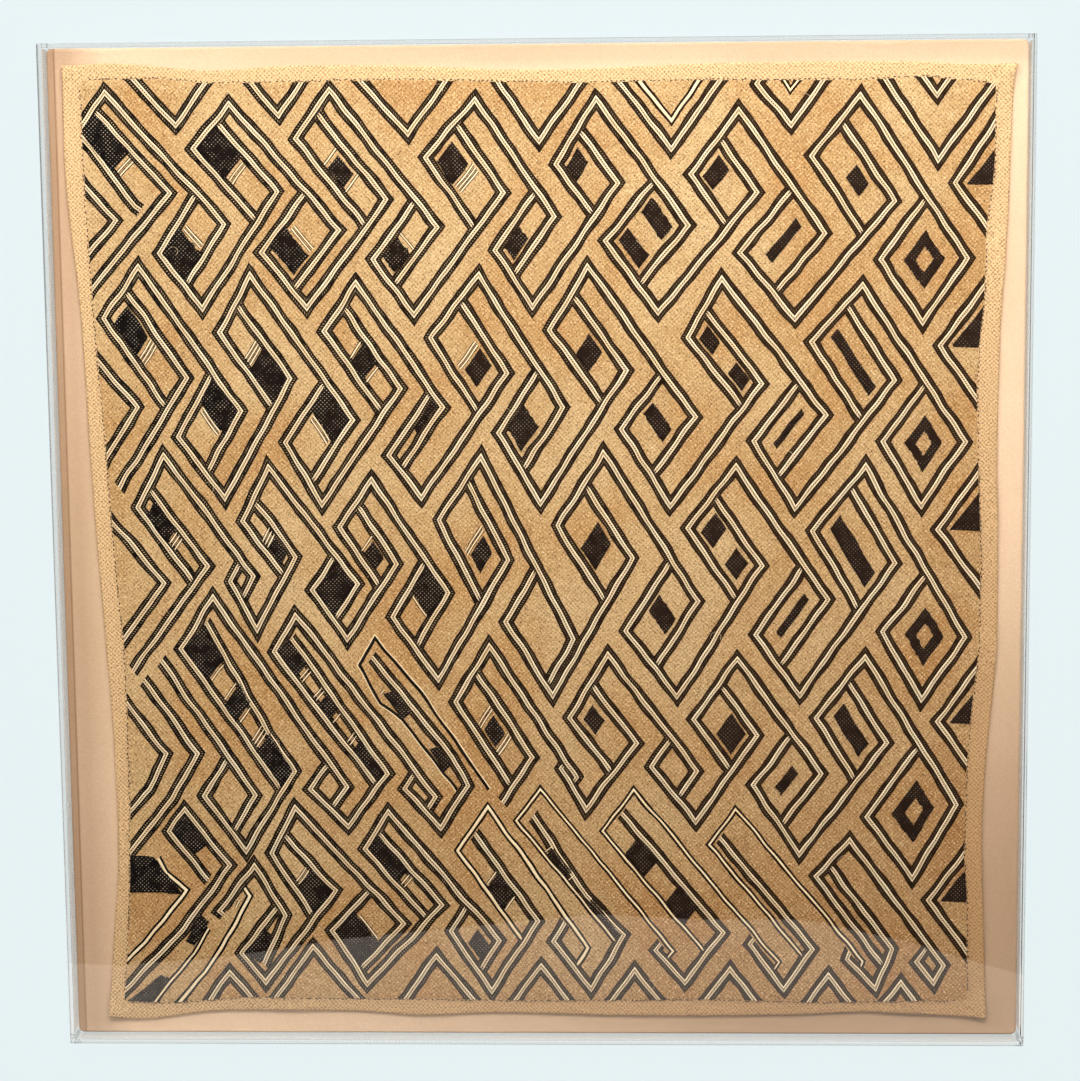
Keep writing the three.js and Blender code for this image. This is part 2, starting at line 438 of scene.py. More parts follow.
def raffia_material():
    """Gold pile inside the hem, and the finer ribbed hem outside it."""
    material, tree, shader = new_material("gold_raffia", 0.85, 0.25)
    where = object_place(tree)
    inside = node(tree, "ShaderNodeAttribute", attribute_name="inside").outputs["Fac"]
    patchy = cloud(tree, where, 70, 3, 0.55)
    gold = mix_colours(tree, ramp(tree, patchy, 0.38, 0.5), GOLD_ORANGE, GOLD)
    gold = mix_colours(tree, ramp(tree, patchy, 0.5, 0.66), gold, GOLD_PALE)
    dots = woven_dots(tree, where, *GOLD_WEAVE)
    fuzzy = ramp(tree, cloud(tree, where, 1.0, 3, 0.75), 0.34, 0.66)
    speckle = maths(tree, "MULTIPLY_ADD", fuzzy, 1.3, maths(tree, "MULTIPLY", dots, 0.5))
    # Painted shade: the gold darkens toward the lower right, away from the key light.
    lower_right_shade = maths(tree, "MULTIPLY", low_right(tree, where, 0.02, 0.42), 0.44)
    gold = mix_colours(tree, lower_right_shade, gold, GOLD_SHADED)
    gold = mix_colours(tree, ramp(tree, speckle, 0.8, 0.2), gold, WEAVE_BROWN)
    gold = mix_colours(tree, ramp(tree, speckle, 1.15, 1.6), gold, GOLD_TUFT)
    knots = woven_dots(tree, where, *HEM_WEAVE)
    grain = ramp(tree, cloud(tree, where, 1.2, 3, 0.7), 0.34, 0.66)
    ribbed = maths(tree, "MULTIPLY_ADD", grain, 0.8, maths(tree, "MULTIPLY", knots, 0.6))
    # The hem takes the same painted shade toward the lower right.
    tan = mix_colours(tree, lower_right_shade, HEM_TAN, GOLD_SHADED)
    tan = mix_colours(tree, ramp(tree, ribbed, 0.15, 0.9), HEM_SHADE, tan)
    edge = ramp(tree, inside, -0.4, 0.4)
    colour = mix_colours(tree, edge, tan, gold)
    link(tree, colour, shader.inputs["Base Color"])
    height = mix_values(tree, edge, ribbed, speckle)
    add_bump(tree, shader, height, 0.9, 0.35)
    return material


# Edges of the cloth as curves, read evenly along their length.
EDGE_STEPS = 16


def catmull(before, start, stop, after, t):
    """A point on the smooth curve from start to stop, with the points on either side of them."""
    leaving = (stop - before) / 2
    coming = (after - start) / 2
    cubic = 2 * start - 2 * stop + leaving + coming
    square = -3 * start + 3 * stop - 2 * leaving - coming
    return ((cubic * t + square) * t + leaving) * t + start


def smooth_edge(table, down_the_cloth):
    """Points along one edge, and how far along the edge each of them lies."""
    rows = [(reach, along) if down_the_cloth else (along, reach) for along, reach in table]
    first = [2 * rows[0][k] - rows[1][k] for k in (0, 1)]
    last = [2 * rows[-1][k] - rows[-2][k] for k in (0, 1)]
    rows = [first, *rows, last]
    points = []
    for before, start, stop, after in zip(rows, rows[1:], rows[2:], rows[3:]):
        for step in range(EDGE_STEPS):
            t = step / EDGE_STEPS
            points.append(tuple(catmull(before[k], start[k], stop[k], after[k], t) for k in (0, 1)))
    points.append(tuple(rows[-2]))
    travelled = [0]
    for a, b in zip(points, points[1:]):
        travelled.append(travelled[-1] + math.dist(a, b))
    return points, travelled


def along_edge(edge, share):
    """The point at this share of an edge's length."""
    points, travelled = edge
    target = share * travelled[-1]
    low, high = 0, len(points) - 1
    while high - low > 1:
        middle = (low + high) // 2
        if travelled[middle] <= target:
            low = middle
        else:
            high = middle
    span = travelled[high] - travelled[low]
    t = (target - travelled[low]) / span if span else 0
    return tuple(points[low][k] + (points[high][k] - points[low][k]) * t for k in (0, 1))


TOP = smooth_edge(TOP_EDGE, False)
BOTTOM = smooth_edge(BOTTOM_EDGE, False)
LEFT = smooth_edge(LEFT_EDGE, True)
RIGHT = smooth_edge(RIGHT_EDGE, True)


def cloth_place(across, down):
    """Where a point of the sheet lies, from its shares of the way across and down."""
    top, bottom = along_edge(TOP, across), along_edge(BOTTOM, across)
    left, right = along_edge(LEFT, down), along_edge(RIGHT, down)
    top_left, top_right = along_edge(TOP, 0), along_edge(TOP, 1)
    bottom_left, bottom_right = along_edge(BOTTOM, 0), along_edge(BOTTOM, 1)
    return tuple(
        top[k] * (1 - down) + bottom[k] * down + left[k] * (1 - across) + right[k] * across
        - top_left[k] * (1 - across) * (1 - down) - top_right[k] * across * (1 - down)
        - bottom_left[k] * (1 - across) * down - bottom_right[k] * across * down
        for k in (0, 1)
    )


# The sheet's grid: how far in its lines lie over the rim and hem, and their pitch in the field.
RIM_LINES = [0, 0.25, 0.7, 1.6, 3.2, 5.2, 7.4, 9.4]
CLOTH_GRID = 3.5
PILE_SLOPE = 1.5
SWELL_START = 4
HEM_RIPPLE = 0.12
RIPPLE_LENGTH = 7
TUCK = 0.35
TUCK_WIDTH = 0.7


def grid_lines(length):
    """Close lines over the rolled rim and the hem, then even ones over the field."""
    inner = length - 2 * HEM_WIDTH
    count = round(inner / CLOTH_GRID)
    field = [HEM_WIDTH + inner * step / count for step in range(count + 1)]
    return RIM_LINES + field + [length - far for far in reversed(RIM_LINES)]


def soft_step(value):
    share = min(1, max(0, value))
    return share * share * (3 - 2 * share)


def cloth_thickness(in_from_edge, inside):
    """The rim is rolled over, the hem is flat and the pile stands above it."""
    rolled = min(1, in_from_edge / RIM_ROLL)
    hem = RIM_THICKNESS + (HEM_THICKNESS - RIM_THICKNESS) * math.sqrt(1 - (1 - rolled) ** 2)
    return hem + (PILE_THICKNESS - HEM_THICKNESS) * soft_step(inside / PILE_SLOPE + 0.5)


def raffia_cloth(material):
    """The closed sheet: its back, its front with the thick field, and the four sides."""
    width, height = TOP[1][-1], LEFT[1][-1]
    columns, rows = grid_lines(width), grid_lines(height)
    floor = MOUNT_DEPTH + CLOTH_TO_LINEN
    lower, upper, inside_values = [], [], []
    for down in rows:
        for across in columns:
            x, y = cloth_place(across / width, down / height)
            in_from_edge = min(across, width - across, down, height - down)
            inside = inside_field(x, y)
            rise = floor + curl(x, y)
            ripple = HEM_RIPPLE * bumpy(x, y, RIPPLE_LENGTH, 4) if in_from_edge < HEM_WIDTH else 0
            tucked = TUCK * max(0, 1 - in_from_edge / TUCK_WIDTH)
            lift = swell(x, y) * soft_step(inside / SWELL_START)
            lower.append((x, y, rise + tucked))
            upper.append((x, y, rise + cloth_thickness(in_from_edge, inside) + lift + ripple))
            inside_values.append(inside)
    wide, tall = len(columns), len(rows)
    under = wide * tall
    faces = []
    for row in range(tall - 1):
        for column in range(wide - 1):
            a = row * wide + column
            b, c, d = a + wide, a + wide + 1, a + 1
            faces.append((a, d, c, b))
            faces.append((under + a, under + b, under + c, under + d))
    last = (tall - 1) * wide
    for column in range(wide - 1):
        faces.append((column, under + column, under + column + 1, column + 1))
        faces.append((last + column + 1, under + last + column + 1, under + last + column, last + column))
    for row in range(tall - 1):
        start = row * wide
        end = start + wide - 1
        faces.append((start + wide, under + start + wide, under + start, start))
        faces.append((end, under + end, under + end + wide, end + wide))
    return add_mesh(
        "raffia_sheet", lower + upper, faces, material, {"inside": inside_values + inside_values}
    )


# The worked design. It is a chart of cells in six rows, and each cell is named by its row and
# column. Two stitched lines spiral into each other in every cell: the inner one runs from the
# cell's right corner down to its foot and back up a spur, and the outer one rises from its left
# corner over its top and comes down to a hook. The three corners are on the middle of the line.
CELLS = {
    (1, 0): ((-297, 276), (-279, 302), (-238, 237)),
    (1, 1): ((-222, 265), (-198, 294), (-168, 237)),
    (1, 2): ((-155, 271), (-133, 302), (-97, 231)),
    (1, 3): ((-71, 258), (-39, 295), (-21, 235)),
    (1, 4): ((13, 253), (39, 295), (53, 241)),
    (1, 5): ((100, 246), (131, 287), (143, 234)),
    (1, 6): ((178, 257), (209, 296), (231, 228)),
    (1, 7): ((270, 239), (296, 279), None),
    (2, 0): ((-284, 155), (-260, 189), (-230, 116)),
    (2, 1): ((-208, 146), (-187, 183), (-162, 115)),
    (2, 2): ((-139, 146), (-118, 177), (-90, 108)),
    (2, 3): ((-70, 141), (-38, 182), (-20, 118)),
    (2, 4): ((8, 146), (33, 187), (58, 119)),
    (2, 5): ((98, 141), (120, 179), (146, 110)),
    (2, 6): ((178, 137), (211, 174), (232, 112)),
    (2, 7): ((261, 134), (291, 174), None),
    (3, 0): ((-265, 30), (-247, 65), (-220, -9)),
    (3, 1): ((-196, 21), (-178, 57), (-161, -3)),
    (3, 2): ((-132, 17), (-110, 48), (-94, -8)),
    (3, 3): ((-66, 21), (-38, 63), (-21, -6)),
    (3, 4): ((12, 17), (43, 65), (61, -5)),
    (3, 5): ((97, 15), (129, 56), (146, -10)),
    (3, 6): ((179, 13), (213, 56), (233, -9)),
    (3, 7): ((261, 14), (291, 56), None),
    (4, 0): ((-239, -65), (-217, -30), (-165, -148)),
    (4, 1): ((-177, -67), (-162, -42), (-103, -150)),
    (4, 2): ((-117, -74), (-109, -60), (-49, -158)),
    (4, 3): ((-57, -101), (-34, -63), (-6, -139)),
    (4, 4): ((19, -112), (45, -69), (63, -129)),
    (4, 5): ((101, -113), (130, -72), (143, -124)),
    (4, 6): ((182, -112), (214, -71), (228, -129)),
    (4, 7): ((262, -115), (291, -73), None),
    (5, 0): ((-182, -204), (-165, -173), (-139, -230)),
    (5, 1): ((-119, -201), (-103, -176), (-68, -240)),
    (5, 2): ((-57, -202), (-36, -173), (-4, -251)),
    (5, 3): ((-17, -182), (-1, -160), (54, -261)),
    (5, 4): ((40, -189), (61, -161), (120, -259)),
    (5, 5): ((111, -198), (129, -174), (180, -270)),
    (5, 6): ((182, -220), (204, -195), (233, -270)),
    (5, 7): ((257, -236), (282, -202), None),
}
# The cells below the last row show only their tops, at the hem.
CUT_TOPS = {
    (6, -1): (-212, -287), (6, 0): (-155, -269), (6, 1): (-72, -275), (6, 2): (-2, -282),
    (6, 3): (61, -285), (6, 4): (125, -284), (6, 5): (191, -288), (6, 6): (239, -293),
}
# The feet of the last row, which stand on the hem.
LAST_FEET = {
    0: (-188, -294), 1: (-119, -295), 2: (-35, -300), 3: (32, -298),
    4: (94, -294), 5: (161, -298), 6: (222, -297), 7: (261, -294),
}
LAST_SPURS = {
    0: (-202, -276), 1: (-142, -258), 2: (-62, -258), 3: (7, -265),
    4: (75, -271), 5: (138, -267), 6: (203, -277), 7: (251, -279),
}
FOOT_FROM_CELL = (-11, 15)
SPUR_FROM_CELL = (11.5, 16)
HOOK_SHARE = 0.27
HOOK_STEPS = {-1: 21, 0: 21, 1: 17, 2: 27, 3: 26, 4: 27, 5: 27}
RING_HOOK = (28, 42)
RISING_ANGLE = math.radians(54)
RISING = (math.cos(RISING_ANGLE), math.sin(RISING_ANGLE))
FALLING_LEFT = 50
FALLING_GAIN = 5
FALLING_ANGLE = math.radians(52)
FALLING = (math.cos(FALLING_ANGLE), -math.sin(FALLING_ANGLE))
HALF_CLOTH = 300
FAR = 90
LAST_ROW = 5
# The rows whose first lines run out under the left hem.
LEFT_HEM_ROWS = 4

# Cells that break the rules: a foot, spur or hook that lies elsewhere.
FEET = {
    (4, 0): (-199, -203), (1, 5): (79, 157), (4, 5): (102, -183), (0, 5): (87, 262),
    (0, 6): (165, 277),
}
SPURS = {
    (1, 1): (-246, 198), (1, 2): (-179, 198), (2, 1): (-237, 77), (3, 1): (-205, -19),
    (4, 0): (-226, -165), (4, 1): (-155, -160), (4, 4): (13, -146), (5, 0): (-204, -274),
    (5, 7): (249, -279),
}
HOOKS = {
    (4, -1): (-192, -165), (4, 0): (-130, -159), (4, 3): (23, -152), (4, 4): (103, -148),
    (4, 6): (275, -171), (5, -1): (-173, -247), (5, 6): (267, -281), (3, 3): (22, -59),
    (5, 0): (-94, -253), (5, 2): (30, -269), (5, 3): (87, -272), (5, 4): (157, -279),
    (5, 5): (214, -279),
}
OPEN_CELL = (4, 3)
OPEN_END = (-28, -172)
# Tops of the two narrow cells at the left hem, and the way up to the lower one.
LEFT_TOPS = {(4, -1): (-254, -70), (5, -1): (-194, -213)}
LEFT_RISE = [(-213, -249), (-218, -245)]
# Inner lines that bow on their way to the right corner.
BOWS = {
    (4, 0): [(-223, -45), (-182, -122)],
    (4, 1): [(-167, -55)],
    (4, 2): [(-114, -68), (-59, -139)],
    (5, 3): [(-8, -176), (29, -234)],
}
# Outer lines that rise to their left corner another way, and one that ends elsewhere.
RISES = {
    (1, 0): [(-255, 224), (-261, 228), (-287, 265)],
    (5, 0): [(-154, -248)],
}
OUTER_ENDS = {(5, -1): (-190, -284)}


def falling(point):
    """The downward direction of the lines, a little steeper toward the right."""
    angle = math.radians(FALLING_LEFT + FALLING_GAIN * (point[0] + HALF_CLOTH) / (2 * HALF_CLOTH))
    return (math.cos(angle), -math.sin(angle))


def moved(point, direction, distance=1.0):
    return (point[0] + direction[0] * distance, point[1] + direction[1] * distance)


def between(a, b, share):
    return (a[0] + (b[0] - a[0]) * share, a[1] + (b[1] - a[1]) * share)


def toward(a, b):
    length = math.dist(a, b)
    return ((b[0] - a[0]) / length, (b[1] - a[1]) / length)


def meeting(point, direction, a, b):
    """Where a line from point meets the line through a and b."""
    run = (b[0] - a[0], b[1] - a[1])
    spread = direction[0] * run[1] - direction[1] * run[0]
    distance = ((a[0] - point[0]) * run[1] - (a[1] - point[1]) * run[0]) / spread
    return moved(point, direction, distance)


def foot_of(row, column):
    if (row, column) in FEET:
        return FEET[(row, column)]
    if (row, column) == OPEN_CELL:
        return None
    if row == LAST_ROW:
        return LAST_FEET.get(column)
    below = CELLS.get((row + 1, column))
    return moved(below[0], FOOT_FROM_CELL) if below else None


def spur_of(row, column):
    if (row, column) in SPURS:
        return SPURS[(row, column)]
    if (row, column) == OPEN_CELL:
        return None
    if row == LAST_ROW:
        return LAST_SPURS.get(column)
    below = CELLS.get((row + 1, column - 1))
    return moved(below[1], SPUR_FROM_CELL) if below else None


def hook_of(row, column):
    if (row, column) in HOOKS:
        return HOOKS[(row, column)]
    beside = CELLS.get((row, column + 1))
    foot = foot_of(row, column + 1)
    if beside is None or foot is None:
        return None
    if beside[2] is None:
        return moved(foot, RING_HOOK)
    return moved(between(beside[2], foot, HOOK_SHARE), (-HOOK_STEPS[column], 0))


def top_of(row, column):
    if (row, column) in LEFT_TOPS:
        return LEFT_TOPS[(row, column)]
    return CELLS[(row, column)][1] if (row, column) in CELLS else None


def inner_line(row, column):
    """From the right corner's start down to the foot, up to the spur and back to the outer line."""
    foot, spur = foot_of(row, column), spur_of(row, column)
    corners = CELLS.get((row, column))
    right = corners[2] if corners else None
    points = []
    if right is not None:
        hook = hook_of(row, column)
        heading = toward(hook, corners[1]) if hook else moved((0, 0), falling(corners[1]), -1)
        points += BOWS.get((row, column)) or [meeting(right, heading, corners[0], corners[1])]
        points.append(right)
    if (row, column) == OPEN_CELL:
        return points + [OPEN_END]
    if foot is None:
        return []
    if not points and row == 0:
        points.append(moved(foot, RISING, FAR))
    if column == 0 and row < LEFT_HEM_ROWS:
        return points + [moved(right, toward(right, foot), FAR)] if right else []
    back = toward(foot, points[-1]) if points else RISING
    points.append(foot)
    if spur is None:
        return points
    points.append(spur)
    top, hook = top_of(row, column - 1), hook_of(row, column - 1)
    if row > 0 and top and hook:
        points.append(meeting(spur, back, top, hook))
    else:
        points.append(moved(spur, RISING, FAR))
    return points


def outer_line(row, column):
    """From the inner line up over the cell's left corner and top, and down to its hook."""
    corners = CELLS.get((row, column))
    hook = hook_of(row, column)
    points = []
    if corners:
        heading = toward(corners[1], hook) if hook else falling(corners[1])
        foot = OPEN_END if (row, column) == OPEN_CELL else foot_of(row, column)
        if (row, column) in RISES:
            points += RISES[(row, column)]
        elif corners[2] is not None and foot:
            points.append(meeting(corners[0], heading, corners[2], foot))
        else:
            points.append(moved(corners[0], heading, FAR))
        points += [corners[0], corners[1]]
    elif (row, column) in LEFT_TOPS:
        points += LEFT_RISE if row == LAST_ROW else []
        points.append(LEFT_TOPS[(row, column)])
    elif hook:
        points.append(moved(hook, falling(hook), -FAR))
    if hook is None:
        return points + [moved(points[-1], falling(points[-1]), FAR)] if points else []
    points.append(hook)
    if (row, column) in OUTER_ENDS:
        return points + [OUTER_ENDS[(row, column)]]
    beside = CELLS[(row, column + 1)]
    foot, spur = foot_of(row, column + 1), spur_of(row, column + 1)
    if beside[2] is None:
        points.append(foot)
    elif column == -1 and row < LEFT_HEM_ROWS:
        points.append(moved(hook, toward(beside[2], foot), FAR))
    elif foot and spur:
        points.append(meeting(hook, toward(beside[2], foot), foot, spur))
    return points


# Lines that follow no rule: the crowded lower left corner, the open cell beside the middle, and
# the small nested points at the top hem.
EXTRA_LINES = [
    ("full", [(-300, -70), (-251, -136), (-263, -161), (-294, -195)]),
    ("full", [(-266, -83), (-230, -136), (-248, -167), (-295, -226)]),
    ("full", [(-223, -225), (-251, -189), (-240, -174), (-210, -213), (-242, -256), (-292, -308)]),
    ("slim", [(-260, -205), (-253, -218), (-240, -230), (-269, -266), (-300, -297)]),
    ("slim", [(-202, -226), (-197, -234), (-211, -260), (-229, -287), (-255, -317)]),
    ("bar", [(-203, -235), (-208, -245)]),
    ("thin", [(-224, -254), (-236, -274), (-268, -313)]),
    ("edge", [(-55, -164), (-93, -113), (-107, -102), (-121, -76), (-110, -57), (-81, -92), (-33, -163)]),
    ("full", [(300, 355), (258, 295), (215, 350)]),
    ("slim", [(55, 322), (87, 280), (117, 322)]),
    ("thin", [(190, 335), (164, 299), (138, 335)]),
    ("bar", [(-103, -90), (-108, -98)]),
    ("bar", [(-86, -110), (-90, -116)]),
    ("bar", [(-73, -129), (-77, -134)]),
    ("bar", [(-60, -147), (-64, -152)]),
]
HAND_DRAWN_OUTER = {(4, 2)}
NARROW_OUTER = {(5, 2): "slim", (5, 3): "thin", (5, 4): "thin", (5, 5): "thin"}


def run_on(lines):
    """Lines of one kind become a single line where one starts at the other's end."""
    starts = {(kind, points[0]): points for kind, points in lines}
    ends = {(kind, points[-1]) for kind, points in lines if points[0] != points[-1]}
    whole = []
    for kind, points in lines:
        if (kind, points[0]) in ends:
            continue
        after = starts.get((kind, points[-1])) if (kind, points[-1]) in ends else None
        whole.append((kind, points + after[1:] if after else points))
    return whole


def all_lines():
    """Every stitched line of the design: its kind and its corners."""
    lines = list(EXTRA_LINES)
    for row in range(LAST_ROW + 1):
        for column in range(-1, 8):
            if (row, column) != (0, 0) and column >= 0:
                lines.append(("full", inner_line(row, column)))
            if row > 0 and (row, column) not in HAND_DRAWN_OUTER:
                kind = NARROW_OUTER.get((row, column), "full")
                lines.append((kind, outer_line(row, column)))
    for top in CUT_TOPS.values():
        lines.append(("full", [moved(top, RISING, -FAR), top, moved(top, falling(top), FAR)]))
    return run_on([(kind, points) for kind, points in lines if len(points) > 1])


# Across each kind of line, from one side to the other: place and height of its raffia. Dark
# lanes lie on both sides of one or two cream threads, and an edge has one lane and one thread.
def mirrored(lane):
    return [lane, [(-place, height) for place, height in lane]]


LINE_KINDS = {
    "full": {
        "dark": mirrored([(1.1, 0.0), (1.5, 0.18), (2.8, 0.3), (4.2, 0.16), (4.8, -0.4)]),
        "cream": [[(-1.4, 0.02), (-0.75, 0.38), (0, 0.08), (0.75, 0.38), (1.4, 0.02)]],
    },
    "slim": {
        "dark": mirrored([(0.8, 0.0), (1.1, 0.16), (2.0, 0.26), (2.9, -0.4)]),
        "cream": [[(-0.95, 0.02), (-0.45, 0.34), (0.45, 0.34), (0.95, 0.02)]],
    },
    "thin": {
        "dark": mirrored([(0.45, 0.0), (0.8, 0.14), (1.6, 0.24), (2.6, -0.4)]),
        "cream": [[(-0.65, 0.02), (-0.25, 0.3), (0.25, 0.3), (0.65, 0.02)]],
    },
    "edge": {
        "dark": [[(-2.0, -0.4), (-1.2, 0.24), (0, 0.24), (0.6, 0.0)]],
        "cream": [[(0.4, 0.02), (0.65, 0.26), (0.9, 0.26), (1.25, -0.1)]],
    },
    "bar": {
        "dark": mirrored([(0.4, 0.0), (0.7, 0.34), (1.2, -0.3)]),
        "cream": [[(-0.55, 0.02), (0, 0.44), (0.55, 0.02)]],
    },
}
LINE_REACH = {
    kind: max(abs(place) for place, _ in lanes["dark"][0]) for kind, lanes in LINE_KINDS.items()
}
WIDTH_SWING = 0.12
WIDTH_LENGTH = 11.0
LINE_STEP = 3.0
STOP_SHORT = 2.9
FREE_END = 2
DRIFT = 0.88
DRIFT_LENGTH = 15.0
WIDE_DRIFT = 0.6
WIDE_DRIFT_LENGTH = 60
# A line's outer edge frays by up to this much. Lines with no dotted lanes are marked as such by a
# place far off their middle.
OUTER_EDGE = 0.9
FRAY = 0.56
FRAY_LENGTH = 1.7
NO_DOTS = 20
# A plain box within the field, where nothing needs trimming.
SURELY_LEFT, SURELY_RIGHT = -270, 276
SURELY_LOW, SURELY_HIGH = -298, 299


def drifted(x, y):
    """Hand stitching never runs dead straight: a slow sideways wander of the whole design."""
    at = Vector((x / DRIFT_LENGTH, y / DRIFT_LENGTH, 0))
    wide = Vector((x / WIDE_DRIFT_LENGTH, y / WIDE_DRIFT_LENGTH, 9))
    sideways = noise.noise(at) + WIDE_DRIFT * noise.noise(wide)
    at += Vector((7.3, 2.1, 5))
    wide += Vector((3, 8, 1))
    upward = noise.noise(at) + WIDE_DRIFT * noise.noise(wide)
    return x + DRIFT * sideways, y + DRIFT * upward


class Raffia:
    """Gathers the faces of one piece of raffia work, trimmed at the hem."""

    def __init__(self):
        self.points, self.uvs, self.faces, self.known = [], [], {}, {}

    def index(self, corner):
        x, y, height, u, v = corner
        key = (round(x, 3), round(y, 3), round(height, 3))
        if key not in self.known:
            self.known[key] = len(self.points)
            self.points.append((x, y, field_height(x, y) + height))
            self.uvs.append((u * MM, v * MM))
        return self.known[key]

    def keep(self, face):
        """Adds a face. Walls where two patches of pile meet cancel each other out."""
        corners = frozenset(face)
        if corners in self.faces:
            del self.faces[corners]
        else:
            self.faces[corners] = face

    def add(self, corners):
        for side in FIELD_SIDES:
            if all(well_inside(c) for c in corners):
                break
            corners = trimmed(corners, side)
            if len(corners) < 3:
                return
        face = []
        for corner in corners:
            index = self.index(corner)
            if index not in face:
                face.append(index)
        if len(face) > 2:
            self.keep(face)

    def grid(self, rows):
        """A sheet of faces through rows of points, facing up."""
        for first, second in zip(rows, rows[1:]):
            for k in range(len(first) - 1):
                self.add([first[k], second[k], second[k + 1], first[k + 1]])

    def piece(self, name, material):
        made = add_mesh(name, self.points, list(self.faces.values()), material, uvs=self.uvs)
        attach(made, "root")
        return made


def well_inside(corner):
    x, y = corner[:2]
    return SURELY_LEFT < x < SURELY_RIGHT and SURELY_LOW < y < SURELY_HIGH


def trimmed(corners, side):
    """The part of a small face that lies inside one side of the field."""
    kept = []
    reach = [side(c[0], c[1]) for c in corners]
    for k, corner in enumerate(corners):
        before, depth = corners[k - 1], reach[k - 1]
        if (depth > 0) != (reach[k] > 0):
            share = depth / (depth - reach[k])
            kept.append(tuple(p + (q - p) * share for p, q in zip(before, corner)))
        if reach[k] > 0:
            kept.append(corner)
    return kept


def side_step(direction):
    return (-direction[1], direction[0])


def cut_across(direction, along):
    """How a line's side step leans so that its end lies along another line."""
    step = side_step(direction)
    lean = along[0] * step[0] + along[1] * step[1]
    return (along[0] / lean, along[1] / lean)


def line_frames(points, start_along, end_along):
    """Corner points, and at each one the leaning side step that keeps the lanes parallel."""
    points = list(points)
    runs = [toward(a, b) for a, b in zip(points, points[1:])]
    steps = []
    for k in range(1, len(points) - 1):
        one, two = side_step(runs[k - 1]), side_step(runs[k])
        share = 1 / (1 + one[0] * two[0] + one[1] * two[1])
        steps.append(((one[0] + two[0]) * share, (one[1] + two[1]) * share))
    first = cut_across(runs[0], start_along) if start_along else side_step(runs[0])
    last = cut_across(runs[-1], end_along) if end_along else side_step(runs[-1])
    return points, [first, *steps, last]


def lay_line(kind, points, dark, cream, start_along=None, end_along=None, short=STOP_SHORT):
    """Lays one stitched line. Where it stops against another one, its end lies along that line."""
    points = list(points)
    if start_along:
        run = toward(points[0], points[1])
        sine = abs(run[0] * start_along[1] - run[1] * start_along[0])
        points[0] = moved(points[0], run, short / sine)
    if end_along:
        run = toward(points[-1], points[-2])
        sine = abs(run[0] * end_along[1] - run[1] * end_along[0])
        points[-1] = moved(points[-1], run, short / sine)
    points, steps = line_frames(points, start_along, end_along)
    lanes = LINE_KINDS[kind]
    for work, kind_lanes in ((dark, lanes["dark"]), (cream, lanes["cream"])):
        for lane in kind_lanes:
            rows = []
            travelled = 0
            for k in range(len(points) - 1):
                length = math.dist(points[k], points[k + 1])
                count = max(1, math.ceil(length / LINE_STEP))
                for step in range(count + (k == len(points) - 2)):
                    share = step / count
                    u = travelled + length * share
                    row = [
                        line_point(kind, points, steps, k, share, u, place, height)
                        for place, height in sorted(lane, reverse=True)
                    ]
                    rows.append(row)
                travelled += length
            work.grid(rows)


def line_point(kind, points, steps, k, share, u, place, height):
    swing = noise.noise(Vector((u / WIDTH_LENGTH, points[0][0], points[0][1])))
    ragged = place * (1 + WIDTH_SWING * swing)
    if abs(place) > OUTER_EDGE * LINE_REACH[kind]:
        jitter = noise.noise(Vector((u / FRAY_LENGTH, points[k][0], points[k][1] + place)))
        ragged += math.copysign(FRAY * jitter, place)
    a = moved(points[k], steps[k], ragged)
    b = moved(points[k + 1], steps[k + 1], ragged)
    x, y = drifted(*between(a, b, share))
    mark = place if kind == "full" else place + NO_DOTS
    return (x, y, height, u, mark)


def is_free(point):
    """Whether a line's end lies beyond the hem, where it is only trimmed."""
    return inside_field(*point) < FREE_END


def crossing_direction(points, at_start):
    """The way the line runs that this end stops against: rising lines stop against falling ones."""
    a, b = (points[0], points[1]) if at_start else (points[-1], points[-2])
    rises = (b[0] - a[0]) * (b[1] - a[1]) > 0
    return FALLING if rises else RISING


def stitched_lines(dark, cream):
    for kind, points in all_lines():
        start = None if is_free(points[0]) else crossing_direction(points, True)
        end = None if is_free(points[-1]) else crossing_direction(points, False)
        lay_line(kind, points, dark, cream, start, end)


